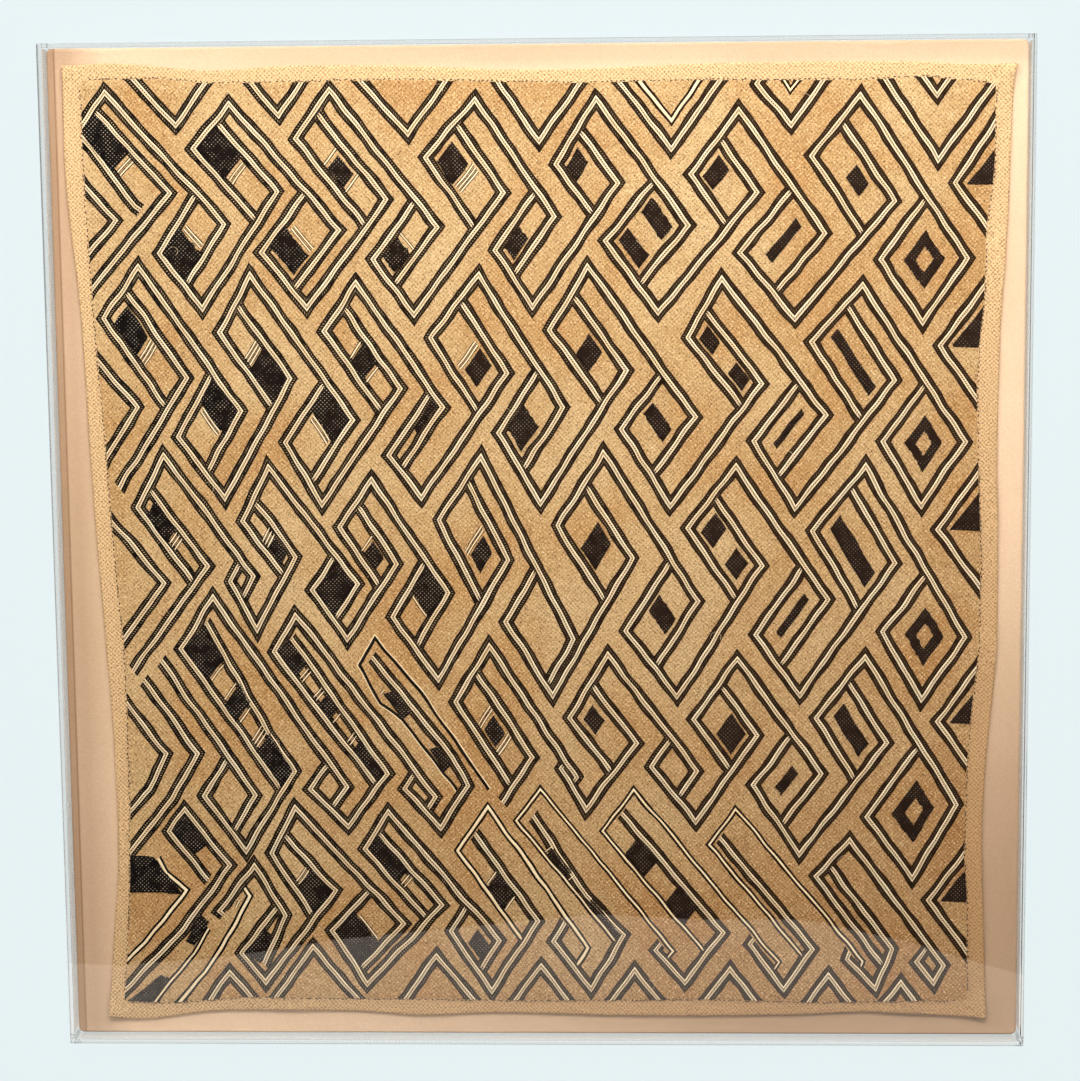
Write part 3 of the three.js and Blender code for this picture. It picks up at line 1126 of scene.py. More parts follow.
# What fills the rooms. A cell room runs from the left side of its cell down to the right corner,
# a hook room from the spur's foot up to the hook. Each entry gives a filling and where it lies
# along the room, from 0 to 1: dark pile from one share to another, or a few cream bars at one.
CELL_FILLS = {
    (1, 0): [("dark", 0, 0.5), ("bars", 0.57, 2)],
    (1, 1): [("dark", 0.02, 0.46), ("bars", 0.54, 2)],
    (1, 2): [("bars", 0.33, 1), ("inset", 0.38, 0.64, 0, 0.85), ("bars", 0.68, 1)],
    (1, 3): [("inset", 0.06, 0.43, 0, 0.82), ("bars", 0.54, 3)],
    (1, 4): [("inset", 0.06, 0.42, 0, 0.78)],
    (1, 5): [("inset", 0.08, 0.42, 0.06, 0.9)],
    (1, 6): [("inset", 0.42, 0.7, 0.3, 0.85)],
    (2, 0): [("inset", 0.06, 0.46, -0.1, 0.95), ("bars", 0.55, 3)],
    (2, 1): [("bars", 0.46, 3), ("dark", 0.54, 1)],
    (2, 2): [("bars", 0.36, 1), ("dark", 0.39, 0.66), ("bars", 0.7, 1)],
    (2, 3): [("bars", 0.48, 2), ("inset", 0.56, 0.85, 0.18, 0.92)],
    (2, 4): [("inset", 0.39, 0.67, 0, 0.88)],
    (2, 5): [("inset", 0.06, 0.33, 0.1, 0.95), ("inset", 0.64, 0.94, 0.1, 0.95)],
    (2, 6): [("inset", 0.06, 0.94, 0.34, 0.64)],
    (3, 0): [("dark", 0.08, 0.5), ("bars", 0.58, 3)],
    (3, 1): [("bars", 0.48, 3), ("inset", 0.56, 0.94, -0.2, 1.1)],
    (3, 2): [("bars", 0.46, 1), ("inset", 0.52, 0.86, 0, 0.95)],
    (3, 3): [("bars", 0.5, 2), ("inset", 0.57, 0.83, 0.2, 0.85)],
    (3, 4): [("inset", 0.37, 0.71, 0.05, 0.9)],
    (3, 5): [("inset", 0.08, 0.36, 0.1, 0.95), ("inset", 0.63, 0.9, 0.15, 0.85)],
    (3, 6): [("inset", 0.08, 0.94, 0.22, 0.62)],
    (4, 0): [("dark", 0.02, 0.22), ("bars", 0.24, 1), ("bars", 0.38, 1), ("dark", 0.4, 0.53),
             ("bars", 0.55, 1), ("bars", 0.71, 3), ("dark", 0.75, 1)],
    (4, 1): [("dark", 0.02, 0.17), ("bars", 0.21, 2), ("bars", 0.36, 2), ("dark", 0.4, 0.52),
             ("bars", 0.55, 1), ("bars", 0.71, 2), ("dark", 0.76, 0.98)],
    (4, 3): [("bars", 0.34, 2), ("inset", 0.41, 0.64, 0.1, 0.85), ("bars", 0.7, 2)],
    (4, 4): [("inset", 0.12, 0.45, 0.15, 0.8)],
    (4, 5): [("inset", 0.42, 0.92, 0.1, 0.95)],
    (4, 6): [("inset", 0.1, 0.88, 0.25, 0.72)],
    (5, 0): [("bars", 0.54, 2), ("dark", 0.59, 1)],
    (5, 1): [("dark", 0.04, 0.5), ("bars", 0.57, 2)],
    (5, 2): [("bars", 0.4, 1), ("dark", 0.42, 0.69), ("bars", 0.71, 1)],
    (5, 3): [("bars", 0.24, 1), ("dark", 0.26, 0.46), ("bars", 0.49, 1), ("dark", 0.7, 0.97)],
    (5, 4): [("dark", 0.17, 0.38), ("dark", 0.6, 0.8)],
}
HOOK_FILLS = {
    (1, 1): [("dark", 0.02, 0.46), ("bars", 0.55, 2)],
    (1, 2): [("inset", 0.06, 0.46, -0.1, 0.95), ("bars", 0.56, 2)],
    (1, 3): [("inset", 0.06, 0.46, 0, 1), ("bars", 0.55, 1)],
    (1, 4): [("inset", 0.06, 0.5, 0, 0.9)],
    (1, 5): [("inset", 0.06, 0.32, 0.05, 0.9), ("inset", 0.62, 0.9, 0.05, 0.9)],
    (1, 6): [("inset", 0.16, 0.86, 0.36, 0.62)],
    (2, 1): [("bars", 0.54, 2), ("dark", 0.6, 1)],
    (2, 2): [("bars", 0.54, 2), ("dark", 0.6, 1)],
    (2, 3): [("inset", 0.5, 0.98, 0.2, 0.95)],
    (2, 4): [("inset", 0.06, 0.54, -0.05, 0.85)],
    (2, 5): [("inset", 0.38, 0.64, 0.08, 0.88)],
    (2, 6): [("inset", 0.16, 0.86, 0.38, 0.6)],
    (3, 2): [("dark", 0, 1)],
    (3, 3): [("bars", 0.46, 1), ("dark", 0.5, 1)],
    (3, 5): [("inset", 0.35, 0.64, 0.06, 0.9)],
    (3, 6): [("inset", 0.18, 0.86, 0.36, 0.66)],
    (4, 6): [("inset", 0.25, 0.75, 0.36, 0.66)],
    (5, 0): [("dark", 0, 0.55)],
    (5, 1): [("dark", 0, 0.52), ("bars", 0.56, 1)],
    (5, 2): [("inset", 0.08, 0.85, 0.45, 1.1)],
}
RING_ROOMS = [(1, 7), (2, 7), (3, 7), (4, 7)]
RING_OUTER = 0.47
RING_INNER = 0.2
HEM_TRIANGLES = [(1, 7), (2, 7), (3, 7), (4, 7), (5, 7)]
TRIANGLE_START = 8
TRIANGLE_DROP = 3
EXTRA_DARK = [
    [(-105, -95), (-98, -93), (-87, -108), (-93, -113)],
    [(-75, -133), (-70, -131), (-60, -144), (-65, -149)],
    [(-240, -178), (-248, -190), (-234, -205), (-225, -198)],
    [(-285, -206), (-285, -231), (-243, -232), (-261, -207)],
    [(-231, -246), (-225, -252), (-236, -269), (-242, -265)],
    [(-259, -289), (-252, -292), (-267, -310), (-286, -310)],
]
ROOM_MARGIN = 4.6
ROOM_EDGE = 1.7
WIDEST_EDGE = 0.3
NEAR_END = 0.055
BAR_PITCH = 2.6
BAR_SPAN = (0.2, 0.8)
PATCH_STEP = 1.9
PATCH_HEIGHT = 0.36
PATCH_ROOT = -0.3
TUFT = 0.05
TUFT_LENGTH = 0.8
# How far the ends and sides of a patch wander, and over what length.
END_WANDER, END_LENGTH = 0.9, 1.1
SIDE_WANDER, SIDE_LENGTH = 0.5, 1.3
HAND_DRAWN_END = (-56, -164)


def cell_room(row, column):
    """Corners of a cell room: the side at its start, then the side at its end."""
    corners = CELLS[(row, column)]
    inner = inner_line(row, column)
    outer = [] if (row, column) in HAND_DRAWN_OUTER else outer_line(row, column)
    low_end = outer[0] if outer else HAND_DRAWN_END
    return corners[0], inner[0], low_end, corners[2]


def hook_room(row, column):
    """Corners of a hook room: the side along the spur's foot, then the side under the top."""
    inner = inner_line(row, column)
    outer = outer_line(row, column - 1)
    return inner[-2], outer[-1], inner[-1], outer[-2]


def dark_patch(work, a, b, c, d):
    """Pile between the sides a-b and c-d, with a ragged edge where it is cut."""
    along = max(1, round(max(math.dist(a, c), math.dist(b, d)) / PATCH_STEP))
    across = max(1, round(max(math.dist(a, b), math.dist(c, d)) / PATCH_STEP))
    rows = []
    for i in range(-1, along + 2):
        row = []
        share = min(1, max(0, i / along))
        for j in range(-1, across + 2):
            side = min(1, max(0, j / across))
            x, y = between(between(a, c, share), between(b, d, share), side)
            rim = i in (-1, along + 1) or j in (-1, across + 1)
            jitter = END_WANDER * bumpy(x, y, END_LENGTH, 2) if share in (0, 1) else 0
            sway = SIDE_WANDER * bumpy(x, y, SIDE_LENGTH, 6) if side in (0, 1) else 0
            x, y = drifted(x + jitter, y + jitter + sway)
            tuft = TUFT * bumpy(x, y, TUFT_LENGTH, 3)
            row.append((x, y, PATCH_ROOT if rim else PATCH_HEIGHT + tuft, x, y))
        rows.append(row)
    turn = (b[0] - a[0]) * (c[1] - a[1]) - (b[1] - a[1]) * (c[0] - a[0])
    work.grid([row[::-1] for row in rows] if turn < 0 else rows)


def fill_room(room, fills, dark, cream, pile):
    a, b, c, d = room
    length = (math.dist(a, c) + math.dist(b, d)) / 2
    width = (math.dist(a, b) + math.dist(c, d)) / 2
    margin = ROOM_MARGIN / length
    brim = ROOM_EDGE / length
    edge = min(ROOM_MARGIN / width, WIDEST_EDGE)
    side = ROOM_EDGE / width

    def across(share):
        """Both sides of the room at this share. Dark pile at either end runs to the cream threads."""
        at = margin + share * (1 - 2 * margin)
        if share < NEAR_END:
            at = brim
        if share > 1 - NEAR_END:
            at = 1 - brim
        return between(a, c, at), between(b, d, at)

    for fill in fills:
        if fill[0] == "bars":
            spread = BAR_PITCH / (length * (1 - 2 * margin))
            for k in range(fill[2]):
                left, right = across(fill[1] + (k - (fill[2] - 1) / 2) * spread)
                ends = [between(left, right, share) for share in BAR_SPAN]
                lay_line("bar", ends, dark, cream)
            continue
        first, second = across(fill[1]), across(fill[2])
        low, high = side, 1 - side
        if fill[0] == "inset":
            low, high = (edge + share * (1 - 2 * edge) for share in fill[3:])
        dark_patch(
            pile,
            between(*first, low), between(*first, high),
            between(*second, low), between(*second, high),
        )


def ring(room, pile):
    """A dark diamond ring with a gold middle."""
    corners = [room[0], room[1], room[3], room[2]]
    centre = (sum(p[0] for p in corners) / 4, sum(p[1] for p in corners) / 4)
    outer = [between(centre, p, RING_OUTER) for p in corners]
    inner = [between(centre, p, RING_INNER) for p in corners]
    for k in range(4):
        dark_patch(pile, outer[k], outer[(k + 1) % 4], inner[k], inner[(k + 1) % 4])


def hem_triangle(row, column, pile):
    """Dark pile over the level of the left corner, up to the line above it."""
    x, y = CELLS[(row, column)][0]
    x += TRIANGLE_START
    rise = (HALF_CLOTH - x) * RISING[1] / RISING[0] - TRIANGLE_DROP
    dark_patch(pile, (x, y - 1), (x, y), (HALF_CLOTH, y - 1), (HALF_CLOTH, y + rise))


def worked_design(dark_material, cream_material, pile_material):
    dark, cream, pile = Raffia(), Raffia(), Raffia()
    stitched_lines(dark, cream)
    for at, fills in CELL_FILLS.items():
        fill_room(cell_room(*at), fills, dark, cream, pile)
    for at, fills in HOOK_FILLS.items():
        fill_room(hook_room(*at), fills, dark, cream, pile)
    for at in RING_ROOMS:
        ring(hook_room(*at), pile)
    for at in HEM_TRIANGLES:
        hem_triangle(*at, pile)
    for corners in EXTRA_DARK:
        dark_patch(pile, corners[0], corners[1], corners[3], corners[2])
    return [
        dark.piece("dark_stitching", dark_material),
        cream.piece("cream_threads", cream_material),
        pile.piece("dark_pile", pile_material),
    ]


# Stitching along the hem, and loose fibres.
STITCH_GAP = 3.4
STITCH_LENGTH = 1.9
STITCH_WIDTH = 0.75
STITCH_LEAN = 0.6
FIRST_STITCH = 6
# Along a stitch: how far from its middle and how high. Across it: to which side and how far down.
STITCH_ARCH = ((-1, -0.5), (-0.7, 0.18), (0.7, 0.18), (1, -0.5))
STITCH_ROUND = ((1, 0.4), (0, 0), (-1, 0.4))


def hem_stitches(material):
    """Small dark stitches that hold the hem down, all along its inner side."""
    random.seed(7)
    work = Raffia()
    hems = [
        (FIELD_TOP, "across", 1), (FIELD_BOTTOM, "across", -1),
        (FIELD_LEFT, "down", -1), (FIELD_RIGHT, "down", 1),
    ]
    for table, way, out in hems:
        at = table[0][0] + FIRST_STITCH
        while at < table[-1][0] - FIRST_STITCH:
            reach = read_table(table, at) + out * random.uniform(0.1, 0.9)
            x, y = (at, reach) if way == "across" else (reach, at)
            lean = random.uniform(-STITCH_LEAN, STITCH_LEAN)
            lean += 0 if way == "across" else math.pi / 2
            step = (math.cos(lean) * STITCH_LENGTH / 2, math.sin(lean) * STITCH_LENGTH / 2)
            add_stitch(work, x, y, step)
            at += STITCH_GAP * random.uniform(0.5, 1.4)
    return work.piece("hem_stitches", material)


def add_stitch(work, x, y, step):
    """One short raised stitch, with its ends sunk into the cloth."""
    side = (-step[1] * STITCH_WIDTH / STITCH_LENGTH, step[0] * STITCH_WIDTH / STITCH_LENGTH)
    rows = []
    for along, rise in STITCH_ARCH:
        row = []
        for across, drop in STITCH_ROUND:
            px = x + step[0] * along + side[0] * across
            py = y + step[1] * along + side[1] * across
            row.append((px, py, field_height(px, py) + rise - drop))
        rows.append(row)
    start = len(work.points)
    for row in rows:
        work.points.extend(row)
        work.uvs.extend((p[0] * MM, p[1] * MM) for p in row)
    wide = len(STITCH_ROUND)
    for row in range(len(STITCH_ARCH) - 1):
        for k in range(wide - 1):
            a = start + row * wide + k
            work.keep((a, a + 1, a + wide + 1, a + wide))


# Loose pale fibres that stand out of the pile: where each starts, its length and its turn.
LOOSE_FIBRES = [
    (-236, 196, 13, 0.4), (-120, 218, 12, 2.1), (-28, 92, 14, 1.2), (64, 205, 18, 5.2),
    (160, 66, 13, 0.2), (236, 190, 15, 3.5), (262, -34, 12, 4.1), (118, -60, 16, 0.9),
    (20, -240, 15, 2.6), (-90, -220, 13, 5.8), (-180, -130, 12, 1.7), (-246, -40, 14, 3.0),
    (206, -208, 17, 2.2), (70, -292, 12, 0.1), (-60, 300, 11, 1.0), (180, 297, 13, 3.9),
    (-216, 40, 12, 0.7), (84, 128, 11, 2.9), (285, 88, 14, 1.8), (140, -246, 12, 4.6),
]
FIBRE_RADIUS = 0.14
FIBRE_TAPER = 0.6
FIBRE_SIDES = 5
FIBRE_STEPS = 14
FIBRE_ROOT = -0.3
FIBRE_RISE = 1.5
FIBRE_ARCH = 0.7
LEAST_BEND, MOST_BEND = 0.16, 0.34


def loose_fibres(material):
    random.seed(11)
    points, faces, uvs = [], [], []
    for x, y, length, turn in LOOSE_FIBRES:
        bend = random.choice((-1, 1)) * random.uniform(LEAST_BEND, MOST_BEND)
        heading = turn
        start = len(points)
        for step in range(FIBRE_STEPS + 1):
            share = step / FIBRE_STEPS
            thin = FIBRE_RADIUS * (1 - FIBRE_TAPER * share)
            rise = FIBRE_ROOT + FIBRE_RISE * math.sin(math.pi * share) ** FIBRE_ARCH
            z = field_height(x, y) + rise
            for k in range(FIBRE_SIDES):
                around = 2 * math.pi * k / FIBRE_SIDES
                out = thin * math.cos(around)
                points.append((
                    x - math.sin(heading) * out, y + math.cos(heading) * out,
                    z + thin * math.sin(around),
                ))
                uvs.append((share, k / FIBRE_SIDES))
            x += math.cos(heading) * length / FIBRE_STEPS
            y += math.sin(heading) * length / FIBRE_STEPS
            heading += bend
        for step in range(FIBRE_STEPS):
            for k in range(FIBRE_SIDES):
                a = start + step * FIBRE_SIDES + k
                b = start + step * FIBRE_SIDES + (k + 1) % FIBRE_SIDES
                faces.append((a, a + FIBRE_SIDES, b + FIBRE_SIDES, b))
        faces.append(tuple(start + k for k in range(FIBRE_SIDES)))
        last = start + FIBRE_STEPS * FIBRE_SIDES
        faces.append(tuple(last + k for k in reversed(range(FIBRE_SIDES))))
    made = add_mesh("loose_fibres", points, faces, material, uvs=uvs)
    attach(made, "root")
    return made


# Materials of the stitching.
STITCH_BLACK = srgb(12, 9, 8)
STITCH_BROWN = srgb(42, 26, 14)
DOT_PALE = srgb(214, 182, 134)
CREAM = srgb(254, 234, 194)
CREAM_DEEP = srgb(246, 217, 170)
CREAM_DOT = srgb(74, 46, 24)
PILE_BLACK = srgb(14, 12, 12)
PILE_BROWN = srgb(40, 27, 19)
PILE_DOT = srgb(226, 208, 178)
HEM_THREAD = ((60, 44, 34), (90, 66, 46))
LOOSE_FIBRE = ((214, 180, 128), (240, 220, 182))
STITCH_PITCH = 1.65
DOT_FROM_MIDDLE = 2.8
DOT_REACH = 0.6


def stitch_uv(tree):
    return node_xyz(tree, node(tree, "ShaderNodeUVMap", uv_map="thread").outputs["UV"])


def lane_dots(tree, run, from_middle):
    """Pale dots in a row along the middle of each dark lane."""
    off = maths(tree, "ABSOLUTE", maths(tree, "SUBTRACT", from_middle, DOT_FROM_MIDDLE * MM))
    near = ramp(tree, off, DOT_REACH * MM, 0.4 * DOT_REACH * MM)
    beat = ramp(tree, stitch_beat(tree, run, STITCH_PITCH), 0.66, 0.86)
    return maths(tree, "MULTIPLY", near, beat)


def dark_stitch_material():
    material, tree, shader = new_material("dark_stitching", 0.85, 0.08)
    where = object_place(tree)
    run, across, _ = stitch_uv(tree)
    colour = mix_colours(tree, left_to_right(tree, where), STITCH_BLACK, STITCH_BROWN)
    grain = cloud(tree, where, 0.9, 3, 0.7)
    colour = mix_colours(tree, ramp(tree, grain, 0.7, 1.0), colour, DOT_PALE)
    dots = lane_dots(tree, run, maths(tree, "ABSOLUTE", across))
    worn = ramp(tree, cloud(tree, where, 6, 2, 0.6), 0.32, 0.6)
    fresh = maths(tree, "MULTIPLY_ADD", left_to_right(tree, where), -0.6, 0.85)
    worn = maths(tree, "MULTIPLY", worn, fresh)
    colour = mix_colours(tree, maths(tree, "MULTIPLY", dots, worn), colour, DOT_PALE)
    link(tree, colour, shader.inputs["Base Color"])
    height = maths(tree, "MULTIPLY_ADD", dots, 0.6, grain)
    add_bump(tree, shader, height, 0.6, 0.3)
    return material


def cream_thread_material():
    material, tree, shader = new_material("cream_threads", 0.7, 0.3)
    where = object_place(tree)
    run, across, _ = stitch_uv(tree)
    patch = cloud(tree, where, 24, 3, 0.6)
    colour = mix_colours(tree, ramp(tree, patch, 0.35, 0.65), CREAM_DEEP, CREAM)
    strands = cloud(tree, where, 0.8, 3, 0.7)
    colour = mix_colours(tree, ramp(tree, strands, 0.56, 0.8), colour, CREAM_DOT)
    middle = ramp(tree, maths(tree, "ABSOLUTE", across), 0.8 * MM, 0.35 * MM)
    beat = ramp(tree, stitch_beat(tree, run, STITCH_PITCH), 0.3, 0.8)
    parting = maths(tree, "MULTIPLY", middle, maths(tree, "MULTIPLY_ADD", beat, 0.45, 0.5))
    colour = mix_colours(tree, parting, colour, CREAM_DOT)
    link(tree, colour, shader.inputs["Base Color"])
    height = maths(tree, "MULTIPLY_ADD", parting, -0.7, strands)
    add_bump(tree, shader, height, 0.6, 0.3)
    return material


def dark_pile_material():
    material, tree, shader = new_material("dark_pile", 0.95, 0.05)
    where = object_place(tree)
    colour = mix_colours(tree, left_to_right(tree, where, 0.7), PILE_BLACK, PILE_BROWN)
    dots = woven_dots(tree, where, *DARK_WEAVE)
    grain = cloud(tree, where, 1.2, 3, 0.7)
    worn = ramp(tree, cloud(tree, where, 7, 3, 0.65), 0.42, 0.6)
    fresh = maths(tree, "MULTIPLY_ADD", left_to_right(tree, where), -0.65, 0.95)
    speckle = maths(tree, "MULTIPLY", ramp(tree, dots, 0.84, 0.95), maths(tree, "MULTIPLY", worn, fresh))
    colour = mix_colours(tree, speckle, colour, PILE_DOT)
    link(tree, colour, shader.inputs["Base Color"])
    add_bump(tree, shader, maths(tree, "MULTIPLY_ADD", dots, 0.5, grain), 0.8, 0.4)
    return material


def fibre_material(name, low, high):
    """A single raffia fibre, a little streaky along its length."""
    material, tree, shader = new_material(name, 0.7, 0.3)
    where = object_place(tree)
    grain = cloud(tree, where, 0.8, 2, 0.6)
    colour = mix_colours(tree, ramp(tree, grain, 0.35, 0.65), srgb(*low), srgb(*high))
    link(tree, colour, shader.inputs["Base Color"])
    return material


# The mount, the acrylic and the room.
LINEN_PALE = srgb(236, 205, 172)
LINEN_MIDDLE = srgb(229, 197, 163)
LINEN_DEEP = srgb(212, 178, 144)
LINEN_SHADE = srgb(132, 96, 66)
# How far in from the board's left edge the painted shadow line of the acrylic's left wall lies.
WALL_SHADOW_FROM_EDGE = 5.2
# Where the painted shadow along the board's bottom edge begins, this far in; it is full a millimetre
# further out.
BOTTOM_SHADOW_FROM_EDGE = 1.4
# Where the linen's shading begins and is full, in metres: at its left, above the cloth and along it.
LINEN_LEFT = (-0.28, -0.304)
LINEN_TOP = (0.312, 0.32)
LINEN_TOP_RUN = (-0.26, -0.04)
BOARD_DEEP = srgb(150, 118, 84)
BOARD_PALE = srgb(176, 146, 110)
ACRYLIC_IOR = 1.49
ACRYLIC_HAZE = (0.97, 0.975, 0.98, 1)
ACRYLIC_SHADOW = (0.96, 0.965, 0.97, 1)
FRONT_TINT = (0.985, 0.99, 0.995, 1)
# The walls' warm tint is a painted reflection of the linen in the acrylic.
WALLS_LINEN_REFLECTION = (1, 0.955, 0.91, 1)


def linen_material():
    """Plain linen, with a painted shadow line of the acrylic's left wall just inside the board's left
    edge, and painted shade at its margins.
    """
    material, tree, shader = new_material("linen_weave", 0.95, 0.1)
    where = object_place(tree)
    x, y, _ = node_xyz(tree, where)
    dots = woven_dots(tree, where, *LINEN_WEAVE)
    slubs = cloud(tree, where, 1.4, 3, 0.65)
    weave = maths(tree, "MULTIPLY_ADD", slubs, 0.7, maths(tree, "MULTIPLY", dots, 0.5))
    patch = cloud(tree, where, 130, 2, 0.5)
    pale = mix_colours(tree, ramp(tree, patch, 0.35, 0.65), LINEN_PALE, LINEN_MIDDLE)
    colour = mix_colours(tree, ramp(tree, weave, 0.3, 0.75), LINEN_DEEP, pale)
    # A painted shadow line cast by the acrylic's left wall, just inside the board's left edge, and
    # painted shade on the strip outside it.
    wall_shadow_x = -(MOUNT_WIDTH / 2 - WALL_SHADOW_FROM_EDGE)
    off = maths(tree, "ABSOLUTE", maths(tree, "SUBTRACT", x, wall_shadow_x * MM))
    line = maths(tree, "MULTIPLY", ramp(tree, off, 0.9 * MM, 0.2 * MM), 0.32)
    outside = maths(tree, "MULTIPLY", ramp(tree, x, wall_shadow_x * MM, (wall_shadow_x - 0.4) * MM), 0.24)
    # Painted shade over the linen's left margin, beside the cloth.
    beside = maths(tree, "MULTIPLY", ramp(tree, x, *LINEN_LEFT), 0.42)
    # A painted shadow along the board's bottom edge.
    bottom_shadow_y = -(MOUNT_HEIGHT / 2 - BOTTOM_SHADOW_FROM_EDGE)
    under = maths(tree, "MULTIPLY", ramp(tree, y, bottom_shadow_y * MM, (bottom_shadow_y - 1) * MM), 0.5)
    # Painted shade toward the lower right, away from the key light, and painted shade over the linen
    # above the cloth, where the key light falls strongest.
    low = maths(tree, "MULTIPLY_ADD", low_right(tree, where, 0.2, 0.42), 0.5, under)
    over = maths(tree, "MULTIPLY", ramp(tree, y, *LINEN_TOP), ramp(tree, x, *LINEN_TOP_RUN))
    low = maths(tree, "MULTIPLY_ADD", over, 0.2, low)
    shade = maths(tree, "ADD", maths(tree, "ADD", line, outside), maths(tree, "ADD", beside, low))
    colour = mix_colours(tree, shade, colour, LINEN_SHADE)
    link(tree, colour, shader.inputs["Base Color"])
    add_bump(tree, shader, weave, 0.5, 0.18)
    return material


def board_material():
    material, tree, shader = new_material("board_card", 0.95, 0.15)
    where = object_place(tree)
    grain = cloud(tree, where, 2.2, 3, 0.6)
    colour = mix_colours(tree, ramp(tree, grain, 0.3, 0.7), BOARD_DEEP, BOARD_PALE)
    link(tree, colour, shader.inputs["Base Color"])
    add_bump(tree, shader, grain, 0.3, 0.2)
    return material


def acrylic_material(name, clear_tint):
    """Clear acrylic. Light for the cloth passes straight through it."""
    material, tree, shader = new_material(name, 0.0, 0.5)
    shader.inputs["Transmission Weight"].default_value = 1
    shader.inputs["IOR"].default_value = ACRYLIC_IOR
    where = object_place(tree)
    haze = maths(tree, "MULTIPLY", ramp(tree, cloud(tree, where, 60, 2, 0.5), 0.3, 0.7), 0.5)
    tint = mix_colours(tree, haze, clear_tint, ACRYLIC_HAZE)
    link(tree, tint, shader.inputs["Base Color"])
    clear = node(tree, "ShaderNodeBsdfTransparent")
    clear.inputs["Color"].default_value = ACRYLIC_SHADOW
    choose = node(tree, "ShaderNodeMixShader")
    link(tree, node(tree, "ShaderNodeLightPath").outputs["Is Shadow Ray"], choose.inputs[0])
    link(tree, shader.outputs[0], choose.inputs[1])
    link(tree, clear.outputs[0], choose.inputs[2])
    link(tree, choose.outputs[0], tree.nodes["Material Output"].inputs["Surface"])
    return material


def repaint(name, material):
    """Gives a CAD piece its material and leaves its shape alone."""
    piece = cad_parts[name]
    for place in piece.material_slots:
        place.material = material


# The pale surface that the frame lies on. It glows, so that it is even.
BACKDROP_PAINT = (0.04, 0.043, 0.045, 1)
BACKDROP_TINT = srgb(233, 244, 246)
BACKDROP_GLOW = 0.95
BACKDROP_REACH = 6
BACKDROP_LEVEL = -0.1 * MM


def backdrop():
    mesh = bpy.data.meshes.new("pale_backdrop")
    corners = [
        (x * BACKDROP_REACH, y * BACKDROP_REACH, BACKDROP_LEVEL)
        for x, y in ((-1, -1), (1, -1), (1, 1), (-1, 1))
    ]
    mesh.from_pydata(corners, [], [(0, 1, 2, 3)])
    material, _, shader = new_material("pale_backdrop", 1, 0)
    shader.inputs["Base Color"].default_value = BACKDROP_PAINT
    shader.inputs["Emission Color"].default_value = BACKDROP_TINT
    shader.inputs["Emission Strength"].default_value = BACKDROP_GLOW
    mesh.materials.append(material)
    piece = bpy.data.objects.new("pale_backdrop", mesh)
    bpy.context.scene.collection.objects.link(piece)


# A pale card between the camera and the frame, which shows only as a soft veil in the lower part
# of the acrylic. Its upper edge is given by where the photograph shows that veil begin.
CARD_HEIGHT = 1.5
CARD_PAINT = (0.3, 0.3, 0.3, 1)
CARD_TINT = (1, 0.82, 0.68, 1)
CARD_GLOW = 0.66
CARD_LOW = 1120
VEIL_EDGE = [
    (40, 962), (118, 966), (200, 960), (270, 951), (330, 941), (430, 931), (520, 922),
    (600, 915), (700, 920), (800, 920), (900, 940), (985, 965), (1060, 985),
]


def mirrored_place(across, down):
    """The place at the card's height that the front of the frame mirrors at this picture point."""
    view = bpy.context.scene.camera.matrix_world
    middle = PHOTO_LONG_SIDE / 2
    aim = Vector(((across - middle) / LENS_PIXELS, (middle - down) / LENS_PIXELS, -1))
    aim = view.to_3x3() @ aim
    start = view.translation
    front = start + aim * ((FRAME_DEPTH * MM - start.z) / aim.z)
    aim.z = -aim.z
    return front + aim * ((CARD_HEIGHT - front.z) / aim.z)


def veil_card():
    """The card itself, seen only in the acrylic."""
    points, faces = [], []
    for across, down in VEIL_EDGE:
        points.append(mirrored_place(across, down))
        points.append(mirrored_place(across, CARD_LOW))
    for k in range(0, len(points) - 2, 2):
        faces.append((k, k + 1, k + 3, k + 2))
    mesh = bpy.data.meshes.new("veil_card")
    mesh.from_pydata(points, [], faces)
    material, _, shader = new_material("veil_card", 1, 0)
    shader.inputs["Base Color"].default_value = CARD_PAINT
    shader.inputs["Emission Color"].default_value = CARD_TINT
    shader.inputs["Emission Strength"].default_value = CARD_GLOW
    mesh.materials.append(material)
    card = bpy.data.objects.new("veil_card", mesh)
    bpy.context.scene.collection.objects.link(card)
    card.visible_camera = False
    card.visible_shadow = False


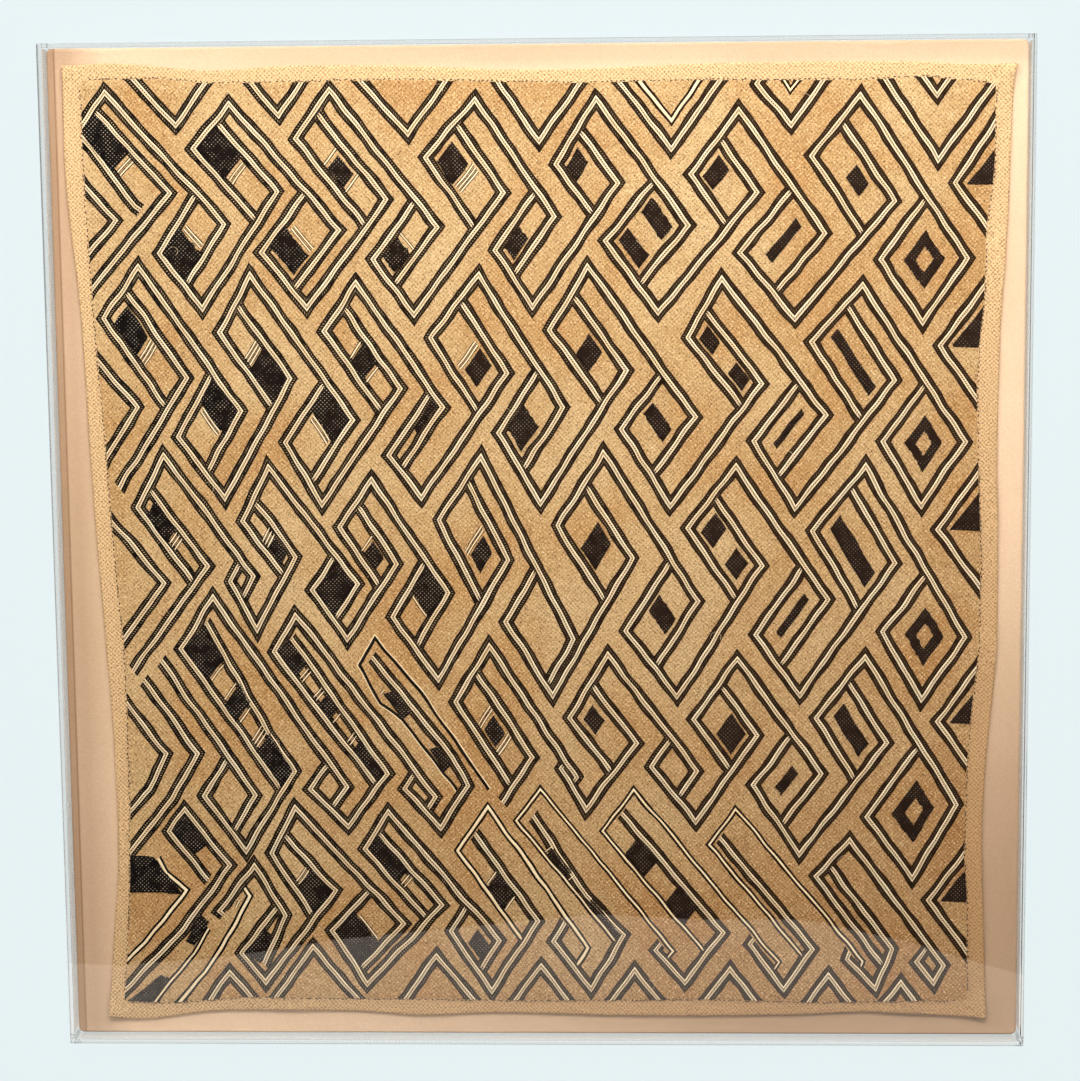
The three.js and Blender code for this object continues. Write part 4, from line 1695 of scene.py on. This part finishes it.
# A key light above the top edge and softer fills at the sides: place, size, power and colour.
LAMPS = {
    "key_light": ((0.06, 0.86, 0.84), (1.4, 0.45), 17, (1, 0.98, 0.97)),
    "left_fill": ((-1.5, -0.4, 1.0), (1, 1), 4, (1, 0.9, 0.78)),
    "right_fill": ((1.6, 0.5, 1.0), (1, 1), 1.4, (1, 0.95, 0.88)),
}
# The room is dim overhead and pale toward the horizon.
CEILING = (0.02, 0.021, 0.022, 1)
HORIZON = (0.66, 0.62, 0.58, 1)
ROOM_GLOW = 0.62


def area_light(name, place, size, power, colour):
    data = bpy.data.lights.new(name, "AREA")
    data.shape = "RECTANGLE"
    data.size, data.size_y = size
    data.energy = power
    data.color = colour
    light = bpy.data.objects.new(name, data)
    bpy.context.scene.collection.objects.link(light)
    turn = (-Vector(place)).to_track_quat("-Z", "Y").to_matrix().to_4x4()
    light.matrix_world = Matrix.Translation(place) @ turn
    # The acrylic's outer faces don't mirror the lamps.
    light.visible_glossy = False


def studio_light():
    for name, settings in LAMPS.items():
        area_light(name, *settings)
    world = bpy.data.worlds.new("soft_room")
    bpy.context.scene.world = world
    world.use_nodes = True
    tree = world.node_tree
    ground = tree.nodes["Background"]
    toward_sky = node_xyz(tree, node(tree, "ShaderNodeTexCoord").outputs["Generated"])[2]
    overhead = ramp(tree, maths(tree, "ABSOLUTE", toward_sky), 0.75, 0.3)
    link(tree, mix_colours(tree, overhead, CEILING, HORIZON), ground.inputs["Color"])
    ground.inputs["Strength"].default_value = ROOM_GLOW


raffia_sheet = raffia_cloth(raffia_material())
stitching = worked_design(dark_stitch_material(), cream_thread_material(), dark_pile_material())
stitching.append(hem_stitches(fibre_material("hem_stitches", *HEM_THREAD)))
stitching.append(loose_fibres(fibre_material("loose_fibres", *LOOSE_FIBRE)))
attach(raffia_sheet, "root")
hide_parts("raffia_cloth")

repaint("linen_cover", linen_material())
repaint("mount_board", board_material())
repaint("acrylic_front", acrylic_material("clear_front", FRONT_TINT))
wall_acrylic = acrylic_material("clear_walls", WALLS_LINEN_REFLECTION)
for side in ("left", "right", "top", "bottom"):
    repaint("acrylic_wall_" + side, wall_acrylic)

backdrop()
veil_card()
studio_light()
bpy.context.scene.view_settings.view_transform = "Standard"
